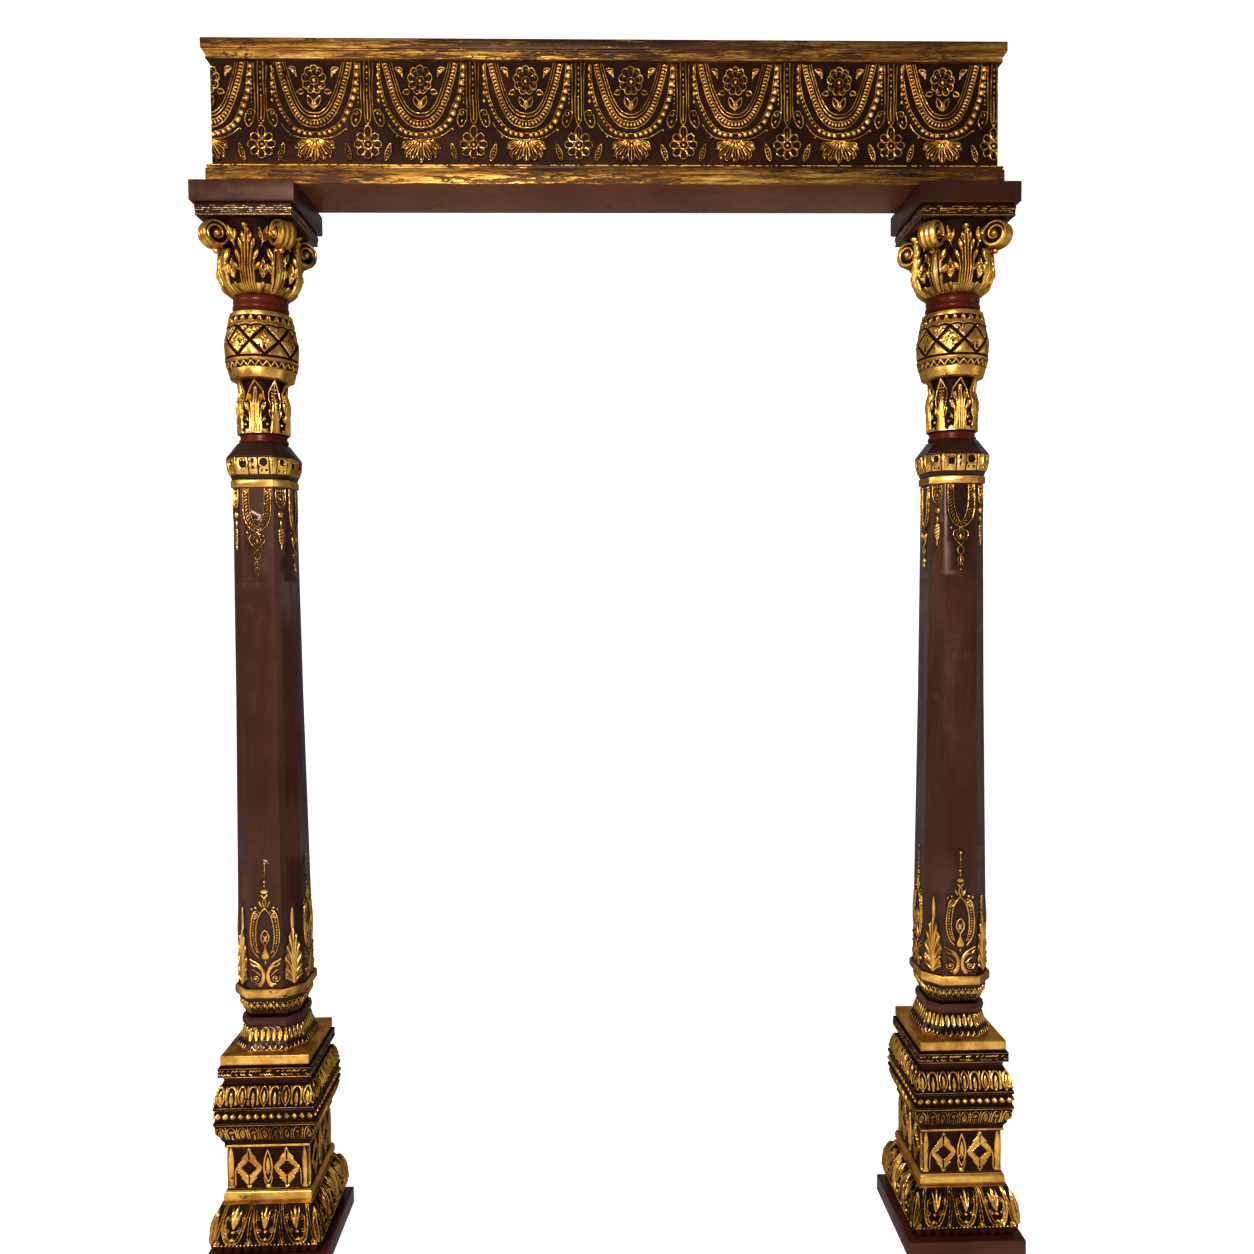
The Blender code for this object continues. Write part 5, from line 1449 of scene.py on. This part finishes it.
def draw_cup(r):
    """Four wide ribbed leaves under pointed outlines and four narrow outlined ones, over a dark core."""
    eighth = math.pi / 4 * CUP_REACH * 1000
    r.plate(-eighth - 1, eighth + 1, -5, 9, 3.4)
    for x, half in ((0.0, 18.5), (-eighth, 13.0), (eighth, 13.0)):
        r.body([(0, half * 0.9), (24, half * 0.76), (42, half * 0.72), (58, half * 0.86), (74, half),
                (90, half * 0.80), (113, 0.6)],
               2.6, 2.2, x, 0.0)
        r.body([(0, half * 0.9), (30, half * 0.66), (70, half * 0.42), (92, 1)], 4.2, 4.0, x)
        tip = [(x - half, 70), (x - half * 0.86, 90), (x, 113), (x + half * 0.86, 90), (x + half, 70)]
        r.line(tip, 1.9, 5.4)
    # ribs of the wide leaf
    for side in (-1, 1):
        r.line(curve([(side * 2.2, 3), (side * 2.4, 50), (side * 2.6, 82), (side * 1.4, 98)]), 2.3, 6.0)
        r.line(curve([(side * 7.0, 3), (side * 6.6, 40), (side * 7.4, 66), (side * 9.6, 84)]), 2.2, 5.6)
        r.line(curve([(side * 11.6, 3), (side * 10.8, 30), (side * 11.8, 50), (side * 16.0, 64)]), 2.0, 5.0)
        r.leaf(side * 11.0, 44, side * 0.40, 26, 4.4, 6.2, 1.8, 0.8, 0, 0.9, 0.8, 1.0)
        r.leaf(side * 7.2, 62, side * 0.30, 26, 4.2, 6.4, 1.8, 0.8, 0, 0.9, 0.8, 1.0)
        r.leaf(side * 14.0, 24, side * 0.55, 20, 3.8, 5.2, 1.6, 0.8, 0, 0.9, 0.8, 1.0)
        # narrow leaf at the diagonal
        x = side * eighth
        r.line(curve([(x - side * 3.5, 34), (x - side * 10, 56), (x - side * 11.5, 72)]), 1.4, 4.6)
        r.beads([(x - side * 3.6, 98), (x - side * 5.6, 62)], 7.0, 2.6, 3.0, 4.6)
        r.line([(x, 108), (x, 40)], 1.3, 4.8)
        r.leaf(x - side * 6, 28, -side * 0.25, 26, 4.0, 4.6, 1.4, 0.5, 0, 0.9, 0.7, 0.6)
        r.hole(side * eighth * 0.58, 34, 4.0, 4.6, 3.4)
        r.hole(side * eighth * 0.66, 5, 3.6, 2.8, 2.4)
        r.bead(side * eighth * 0.60, 19, 3.6, 3.6, 4.6)
    r.gold *= 1 - 0.8 * np.clip((smooth_noise(r.x.shape, (14, 18), 42) - 0.74) * 10, 0, 1)
    curl = np.clip((r.z - 80) / 36, 0, 1) ** 2
    wide = np.clip(1.25 - np.minimum(np.abs(r.x) / 16, (eighth - np.abs(r.x)) / 11), 0, 1)
    r.height += 9.0 * curl * np.clip(wide * 3, 0, 1) * (r.height > 0.5)


def draw_bulb(r):
    """A lattice of studded diamonds between a carved top band and a rubbed lower ledge."""
    eighth = math.pi / 4 * BULB_REACH * 1000
    tall = 143.0
    low, middle, high = 0.336 * tall, 0.536 * tall, 0.752 * tall
    rough = 0.5 + 0.5 * smooth_noise(r.x.shape, (70, 54), 12)
    patches = 0.5 + 0.5 * smooth_noise(r.x.shape, (12, 9), 14)
    r.height += 2.6
    field = (r.z > low - 3) & (r.z < high + 3)
    r.gold += np.where(field, np.clip((rough - 0.20 + 0.4 * (patches - 0.5)) * 5, 0.2, 1), 1.0)
    r.height += np.where(field, 1.0 - 0.5 * np.clip((0.62 - rough) * 4, 0, 1), 0)
    # lattice grooves
    for start in (-eighth, 0.0):
        for rise in (high, low):
            r.cut([(start, middle), (start + eighth / 2, rise), (start + eighth, middle)], 4.0, 3.4)
    # studs and strokes on the diamonds
    for start in (-eighth, 0.0):
        x = start + eighth / 2
        r.bead(x + 3, middle + 11, 3.4, 3.4, 5.2)
        r.bead(x - 5, middle - 5, 2.4, 3.2, 4.4)
        r.line([(x + 6, middle + 3), (x + 13, middle - 5)], 1.4, 4.4)
        r.line([(x - 16, middle + 1), (x - 4, middle + 17)], 1.1, 4.2)
    for x in (-eighth, 0.0, eighth):
        r.line([(x + 3, 0.69 * tall), (x + 12, 0.75 * tall)], 1.2, 4.2)
        r.bead(x - 3, 0.71 * tall, 2.8, 3.2, 4.8)
    for x, smooth in ((-eighth, 0.4), (0.0, 1.0), (eighth, 0.4)):
        inside = 1 - (np.abs(r.x - x) / 20 + np.abs(r.z - 0.355 * tall) / 23)
        inside = np.clip(inside * 14, 0, 1) * (r.z > 0.335 * tall)
        r.gold = np.maximum(r.gold, inside * smooth)
        r.height = np.maximum(r.height, 3.9 * inside)
    # scalloped border and zigzag above
    wave = [(x, 0.785 * tall + 3.0 * abs(math.sin(x / eighth * math.pi * 2)))
            for x in np.linspace(-eighth, eighth, 49)]
    r.cut([(x, z - 3.6) for x, z in wave], 2.0, 2.4)
    r.cut([(-eighth - 1, 0.895 * tall), (eighth + 1, 0.895 * tall)], 8.0, 1.6, 0.18)
    r.line(wave, 1.9, 4.2)
    for i in range(-6, 6):
        x = (i + 0.5) * eighth / 6
        r.leaf(x, 0.845 * tall, 0.5 * (1 if i % 2 else -1), 15, 3.2, 3.8, 1.4, 0.9, 0, 0.9, 0.7, 1.0)
    # ledge and zigzag below
    r.cut([(-eighth - 1, 0.318 * tall), (eighth + 1, 0.318 * tall)], 2.2, 2.2)
    r.line([(-eighth - 1, 0.285 * tall), (eighth + 1, 0.285 * tall)], 2.4, 4.6)
    r.cut([(-eighth - 1, 0.205 * tall), (eighth + 1, 0.205 * tall)], 9.5, 2.4, 0.35)
    zigzag = [(x, 0.205 * tall + 5.4 * (1 if i % 2 else -1))
              for i, x in enumerate(np.linspace(-eighth, eighth, 15))]
    r.line(zigzag, 1.7, 3.4)
    patch = np.clip((smooth_noise(r.x.shape, (30, 18), 13) - 0.60) * 9, 0, 1) * (r.z < 0.30 * tall)
    r.gold -= 0.8 * patch


def neck_piece():
    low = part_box("left_neck")[0].z
    m = Moulding(round_section(int(100 / GRID) + 1, CUP_REACH), GRID * MM)
    m.band(rows_of(0.0200, 0.0524,
                   ((0, 0.0022), (0.08, 0.0004), (0.2, 0), (0.36, 0.0004), (0.40, 0.0030), (0.78, 0.0032),
                    (0.80, 0.0020), (1, 0.0042))), ground=0.9)
    m.band([(0, 0.0515)] + rows_of(0.1164, 0.0530, ((0.21, 0.0015), (0.56, 0.0010), (0.76, 0.0070)))
           + [(0.1164, 0.0440)], draw_cup)
    foot = m.top
    cup = wrapped("left_neck_cup", m, low, int(NECK_BUDGET * 0.45))
    m = Moulding(round_section(int(122 / GRID) + 1, BULB_REACH), GRID * MM)
    m.band([(0, 0.0430), (0.0002, 0.0600)]
           + rows_of(0.1430, 0.0747, ((0.015, 0.0105), (0.24, 0.0020), (0.54, 0), (0.775, 0.0058),
                                      (1, 0.0117))), draw_bulb)
    m.band(rows_of(0.0380, 0.0592, ((0, 0.0052), (0.14, 0.0044), (0.20, 0.0014), (0.30, 0), (0.42, 0),
                                    (0.50, 0.0012), (0.53, 0.0028), (0.62, 0.0016), (0.78, 0.0010),
                                    (0.92, 0.0020), (1, 0.0052))), ground=0.9)
    bulb = wrapped("left_neck_bulb", m, low + foot, int(NECK_BUDGET * 0.55))
    made = joined("left_neck_carved", [cup, bulb])
    for piece in both_sides(made):
        put(piece, "gilded_carving", CARVING)


def joined(name, parts):
    """Joins closed shells into one piece."""
    bpy.ops.object.select_all(action="DESELECT")
    for part in parts:
        part.select_set(True)
    bpy.context.view_layer.objects.active = parts[0]
    bpy.ops.object.join()
    parts[0].name = parts[0].data.name = name
    return parts[0]


# Radius of the cylinder on which the bell's relief is drawn
BELL_REACH = 0.0800


def draw_capital(r):
    """A tall ribbed acanthus on each side, broad leaves under the volutes, buds and leaflets between."""
    eighth = math.pi / 4 * BELL_REACH * 1000
    base = np.interp(r.z, [0, 18, 45], [0.30, 0.70, 1.0])
    # bulging fluted foot
    flutes = 0.5 + 0.5 * np.cos(r.x / eighth * math.pi * 6)
    low = np.clip((17 - r.z) / 8, 0, 1)
    r.raise_to(WHOLE, np.where(low > 0, 4.4 * low ** 0.5 * (0.5 + 0.5 * flutes), -1),
               np.clip(0.2 + flutes * 1.6, 0, 1))
    for side in (-1, 1):
        # leaflets beside the volutes
        x = side * eighth * 0.50
        for turn, long, wide in ((-0.42, 34, 4.6), (0.05, 38, 5.2), (0.46, 30, 4.6)):
            r.leaf(x, 100, side * 0.22 + turn, long, wide, 8.0, 1.8, 0.8, 0, 1.1, 0.8, 1.0)
        r.line(curve([(x, 102), (x - side * 2, 88), (x + side * 3, 72)]), 2.2, 6.0, 1.0, 0.4)
        # broad leaf under the volute, smooth in the middle and lobed at its edges
        c = side * eighth
        r.body([(0, 12), (24, 16), (45, 18), (62, 16), (80, 12), (92, 8), (99, 3)], 9.0, 7.0, c)
        r.line([(c, 2), (c, 92)], 5.0, 11.4, 1.0, 0.3)
        for edge in (-1, 1):
            r.cut(curve([(c + edge * 7.5, 3), (c + edge * 9.0, 40), (c + edge * 6.0, 84)]), 1.7, 4.6)
            for z, turn, long, wide in ((58, 0.30, 34, 6.0), (30, 0.46, 30, 5.6)):
                r.leaf(c + edge * 12, z, edge * turn, long, wide, 9.8, 2.6, 0.9, 0, 1.1, 0.8, 1.0)
    # tall centre acanthus
    r.body([(0, 13), (30, 17), (56, 17), (84, 13), (108, 9), (122, 5)], 5.0, 3.0, 0, 0.3)
    for side in (-1, 1):
        r.line(curve([(side * 2.8, 2), (side * 2.8, 50), (side * 3.0, 84), (side * 3.4, 108),
                      (side * 1.2, 126)]), 2.7, 10.6)
        r.line(curve([(side * 8.2, 2), (side * 7.8, 34), (side * 7.8, 62), (side * 10.0, 86),
                      (side * 12.5, 100)]), 2.5, 10.0)
        r.line(curve([(side * 13.4, 3), (side * 12.8, 28), (side * 12.6, 48), (side * 16.0, 66),
                      (side * 19.0, 78)]), 2.4, 9.4)
        for x, z, turn, long in ((8.8, 80, 0.24, 30), (13.0, 58, 0.34, 30), (14.0, 38, 0.52, 24),
                                 (5.0, 96, 0.16, 28)):
            r.leaf(side * x, z, side * turn, long, 4.6, 10.4, 2.0, 0.9, 0, 1.1, 0.8, 1.0)
    r.bead(-2, 132, 6.6, 6.6, 13.0)
    r.bead(4, 124, 4.0, 5.0, 11.0)
    # bud and heart between the leaves
    for side in (-1, 1):
        x = side * eighth * 0.5
        for turn, long, wide in ((-0.26, 34, 4.4), (0.26, 34, 4.4), (0.0, 44, 5.0)):
            r.leaf(x, 25, turn, long, wide, 8.2, 1.6, 0.35, 1.2, 0.9, 0.65)
        r.bead(x, 14, 4.6, 6.4, 8.6)
        r.hole(x, 20.5, 1.4, 2.4, 2.0)
        r.hole(x, 84, 4.6, 13, 3.0)
    r.height = r.height * base


def volute_shell(angle, foot):
    """One volute: a scrolled disc on each side, its broad edge cut into ridges."""
    radius, half = VOLUTE_RADIUS, VOLUTE_HALF_WIDTH
    around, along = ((72, 66))
    turn = np.linspace(0, 2 * math.pi, around, endpoint=False)[:, None]
    s = np.linspace(0, 1, along)[None, :]
    # along one disc from its middle to the rim, over the edge, and down the other disc
    disc = 0.36
    on_low, on_high = s < disc, s > 1 - disc
    share = np.where(on_low, s / disc, np.where(on_high, (1 - s) / disc, 1.0))
    across = np.where(on_low, -half, np.where(on_high, half, -half + 2 * half * (s - disc) / (1 - 2 * disc)))
    r = share * (radius - 0.0022) + 0 * turn
    winding = np.mod(share * VOLUTE_TURNS + turn / (2 * math.pi) + 0.15, 1.0)
    ridge = np.clip(1 - (np.abs(winding - 0.5) / 0.24) ** 2, 0, 1) ** 0.5
    boss = np.clip(1 - (share / 0.30) ** 2, 0, 1) ** 0.5
    rim = np.clip(1 - ((share - 0.94) / 0.10) ** 2, 0, 1) ** 0.5
    ridge = np.maximum(ridge * np.clip(share * 4 - 0.8, 0, 1), np.maximum(rim, boss))
    groove = 1 - np.clip(ridge * 1.6, 0, 1)
    flat = (on_low | on_high).astype(float)
    out = 0.0050 * boss + 0.0028 * ridge - 0.0034 * groove
    side = np.where(on_low, -1.0, 1.0)
    across = across + side * out * flat
    edge = 1 - flat
    u = np.clip(across / half, -1, 1)
    ridges = 0.5 + 0.5 * np.cos(u * math.pi * 3)
    r = r + edge * (0.0006 + 0.0024 * ridges * np.clip((1 - np.abs(u)) * 6, 0, 1))
    gold = np.clip(flat * np.clip(ridge * 2.2 - 0.3, 0, 1) + edge * (0.40 + ridges * 1.2), 0, 1)
    direction = np.array([math.sin(angle), -math.cos(angle), 0.0])
    sideways = np.array([math.cos(angle), math.sin(angle), 0.0])
    up = np.array([0.0, 0.0, 1.0])
    centre = direction * VOLUTE_OUT + up * (foot + VOLUTE_UP) + np.array([-COLUMN_OFFSET, 0, 0])
    points = (centre + (r * np.cos(turn))[..., None] * direction + (r * np.sin(turn))[..., None] * up
              + (across + 0 * turn)[..., None] * sideways)
    rings = points[:, 1:-1].transpose(1, 0, 2)
    # Painted shade: the hollow value darkens the grooves of the scroll
    values = {"gold": gold[:, 1:-1].T, "hollow": (groove * flat * 0.9)[:, 1:-1].T + 0 * gold[:, 1:-1].T,
              "ground": 0 * gold[:, 1:-1].T}
    return rings_piece("volute", rings[:, ::-1] if np.cross(direction, up) @ sideways > 0 else rings,
                       {k: (v[:, ::-1] if np.cross(direction, up) @ sideways > 0 else v) for k,
                        v in values.items()}, 1e9, 50)


def berry(angle, up):
    """A round berry under a volute."""
    turn = np.linspace(0, 2 * math.pi, 20, endpoint=False)[None, :]
    tip = np.linspace(-math.pi / 2, math.pi / 2, 12)[1:-1, None]
    size = BERRY_RADIUS
    x = -COLUMN_OFFSET + BERRY_OUT * math.sin(angle) + size * np.cos(tip) * np.cos(turn)
    y = -BERRY_OUT * math.cos(angle) + size * np.cos(tip) * np.sin(turn)
    z = up + size * np.sin(tip) + 0 * turn
    rings = np.stack([x, y, z], -1)
    one = np.ones(rings.shape[:2])
    return rings_piece("berry", rings, {"gold": one, "hollow": 0 * one, "ground": 0 * one}, 1e9, 60)


def capital_piece():
    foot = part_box("left_capital")[0].z
    m = Moulding(round_section(int(130 / GRID) + 1, BELL_REACH), GRID * MM)
    m.band(rows_of(0.1474, 0.0812, ((0, 0.0237), (0.11, 0.0067), (0.295, 0), (0.825, 0.0062), (1, -0.0088))),
           draw_capital)
    bell = wrapped("left_capital_bell", m, foot, BELL_BUDGET)
    shells = [bell]
    for quarter in range(4):
        angle = math.pi / 4 + quarter * math.pi / 2
        shells.append(volute_shell(angle, foot))
        shells.append(berry(angle, foot + BERRY_UP))
    made = joined("left_capital_carved", shells)
    for piece in both_sides(made):
        put(piece, "gilded_carving", CARVING)


def draw_abacus_moulding(r):
    """Gilding mostly rubbed off, left in short strokes along the upper and lower edges."""
    rng = np.random.default_rng(17)
    for z, keep, tall in ((16.0, 0.72, 1.7), (20.4, 0.35, 1.0), (12.0, 0.42, 1.0), (8.0, 0.30, 0.9)):
        x = -101.0
        while x < 101:
            long = rng.uniform(2.5, 9.0)
            if rng.random() < keep:
                r.line([(x, z + rng.uniform(-0.6, 0.6)), (x + long, z + rng.uniform(-0.6, 0.6))],
                       rng.uniform(0.7, tall), 0.6,
                       rng.uniform(0.6, 1.0))
            x += long + rng.uniform(0.5, 3.0)
    r.line([(-101, 3.0), (101, 3.0)], 1.1, 0.5, 0.55)
    r.ground += 0.25


def abacus_piece():
    m = Moulding(square_section(int(218 / GRID) + 1), GRID * MM)
    m.band(rows_of(0.0266, 0.1012,
                   ((0, 0.0028), (0.06, 0.0008), (0.16, 0.0008), (0.21, 0.0018), (0.66, 0), (0.81, 0),
                    (0.86, 0.0026), (1, 0.0026))), draw_abacus_moulding)
    m.band(rows_of(0.0451, 0.1090, ((0, 0.0030), (0.055, 0.0004), (0.07, 0), (0.97, 0), (1, 0.0015))),
           ground=0.6)
    made = wrapped("left_abacus_carved", m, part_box("left_abacus")[0].z, ABACUS_BUDGET)
    for piece in both_sides(made):
        put(piece, "lacquer", COLUMN_LACQUER)


pedestal_piece()
cap_piece()
shaft_piece()
neck_piece()
capital_piece()
abacus_piece()


# Studio

# The floor in front of this line shows in the gold, the backdrop behind it doesn't
FLOOR_SEAM = -0.12
# The camera's focal length and the photo's side, in the photo's pixels
FOCAL_LENGTH = 999.64
PHOTO_SIDE = 1254


def studio():
    """A pale floor, a pale backdrop that curves up behind it, and soft lights."""
    world = bpy.data.worlds.new("studio")
    world.use_nodes = True
    world.node_tree.nodes["Background"].inputs["Color"].default_value = (0.93, 0.96, 1.0, 1.0)
    world.node_tree.nodes["Background"].inputs["Strength"].default_value = 0.26
    bpy.context.scene.world = world
    bpy.ops.object.select_all(action="DESELECT")
    bpy.ops.mesh.primitive_plane_add(size=32, location=(0, -16 + FLOOR_SEAM, 0))
    floor = bpy.context.object
    floor.name = "floor"
    bpy.ops.mesh.primitive_plane_add(size=10, location=(0, 5 + FLOOR_SEAM, 0))
    backdrop = bpy.context.object
    backdrop.name = "backdrop"
    bpy.ops.object.mode_set(mode="EDIT")
    bpy.ops.transform.resize(value=(3.2, 1, 1), center_override=(0, 5 + FLOOR_SEAM, 0))
    bpy.ops.mesh.select_all(action="DESELECT")
    bpy.ops.object.mode_set(mode="OBJECT")
    for edge in backdrop.data.edges:
        edge.select = all(backdrop.data.vertices[i].co.y > 4 for i in edge.vertices)
    bpy.context.tool_settings.mesh_select_mode = (False, True, False)
    bpy.ops.object.mode_set(mode="EDIT")
    for step in range(1, 9):
        lean = (step - 0.5) / 8 * math.pi / 2
        bpy.ops.mesh.extrude_region_move(TRANSFORM_OT_translate={
            "value": (0, 0.8 * math.cos(lean), 0.8 * math.sin(lean))})
    bpy.ops.mesh.extrude_region_move(TRANSFORM_OT_translate={"value": (0, 0, 12)})
    bpy.ops.object.mode_set(mode="OBJECT")
    bpy.ops.object.shade_smooth()
    for stage_piece, glow in ((floor, 0.22), (backdrop, 0.58)):
        finish = bpy.data.materials.new("pale_" + stage_piece.name)
        finish.use_nodes = True
        shader = finish.node_tree.nodes["Principled BSDF"]
        shader.inputs["Base Color"].default_value = (0.86, 0.86, 0.86, 1)
        shader.inputs["Roughness"].default_value = 0.8
        shader.inputs["Specular IOR Level"].default_value = 0.1
        shader.inputs["Emission Color"].default_value = (1, 1, 1, 1)
        shader.inputs["Emission Strength"].default_value = glow
        stage_piece.data.materials.append(finish)
    backdrop.visible_glossy = False
    for name, place, size, power, aim, tone in (
            ("key", (-0.9, -4.6, 2.7), 1.0, 265, (0, 0, 1.4), (1.0, 0.98, 0.95)),
            ("left", (-4.2, -2.6, 2.9), 1.4, 80, (-0.3, 0, 1.6), (1.0, 0.98, 0.95)),
            ("window", (5.0, -1.3, 1.7), 1.8, 22, (0, 0, 1.4), (0.80, 0.86, 1.0))):
        light = bpy.data.lights.new(name, "AREA")
        light.size, light.energy, light.color = size, power, tone
        lamp = bpy.data.objects.new(name, light)
        lamp.location = place
        lamp.rotation_euler = (Vector(aim) - Vector(place)).to_track_quat("-Z", "Y").to_euler()
        bpy.context.scene.collection.objects.link(lamp)
    view = bpy.context.scene.view_settings
    view.view_transform = "Standard"
    view.look = "Medium High Contrast"


def camera():
    """The photographer's place, found from the columns and the lintel."""
    yaw, pitch, roll = 0.0258, 0.0431, -0.0084
    eye = Vector((-0.0259, -2.2547, 1.4952))
    ahead = Vector((math.sin(yaw) * math.cos(pitch), math.cos(yaw) * math.cos(pitch), -math.sin(pitch)))
    right = Vector((math.cos(yaw), -math.sin(yaw), 0))
    up = right.cross(ahead)
    side = right * math.cos(roll) + up * math.sin(roll)
    head = -right * math.sin(roll) + up * math.cos(roll)
    data = bpy.data.cameras.new("camera")
    data.sensor_width = 36
    data.lens = FOCAL_LENGTH / PHOTO_SIDE * 36
    made = bpy.data.objects.new("camera", data)
    made.matrix_world = Matrix(((side.x, head.x, -ahead.x, eye.x), (side.y, head.y, -ahead.y, eye.y),
                                (side.z, head.z, -ahead.z, eye.z), (0, 0, 0, 1)))
    bpy.context.scene.collection.objects.link(made)
    bpy.context.scene.camera = made


studio()
camera()
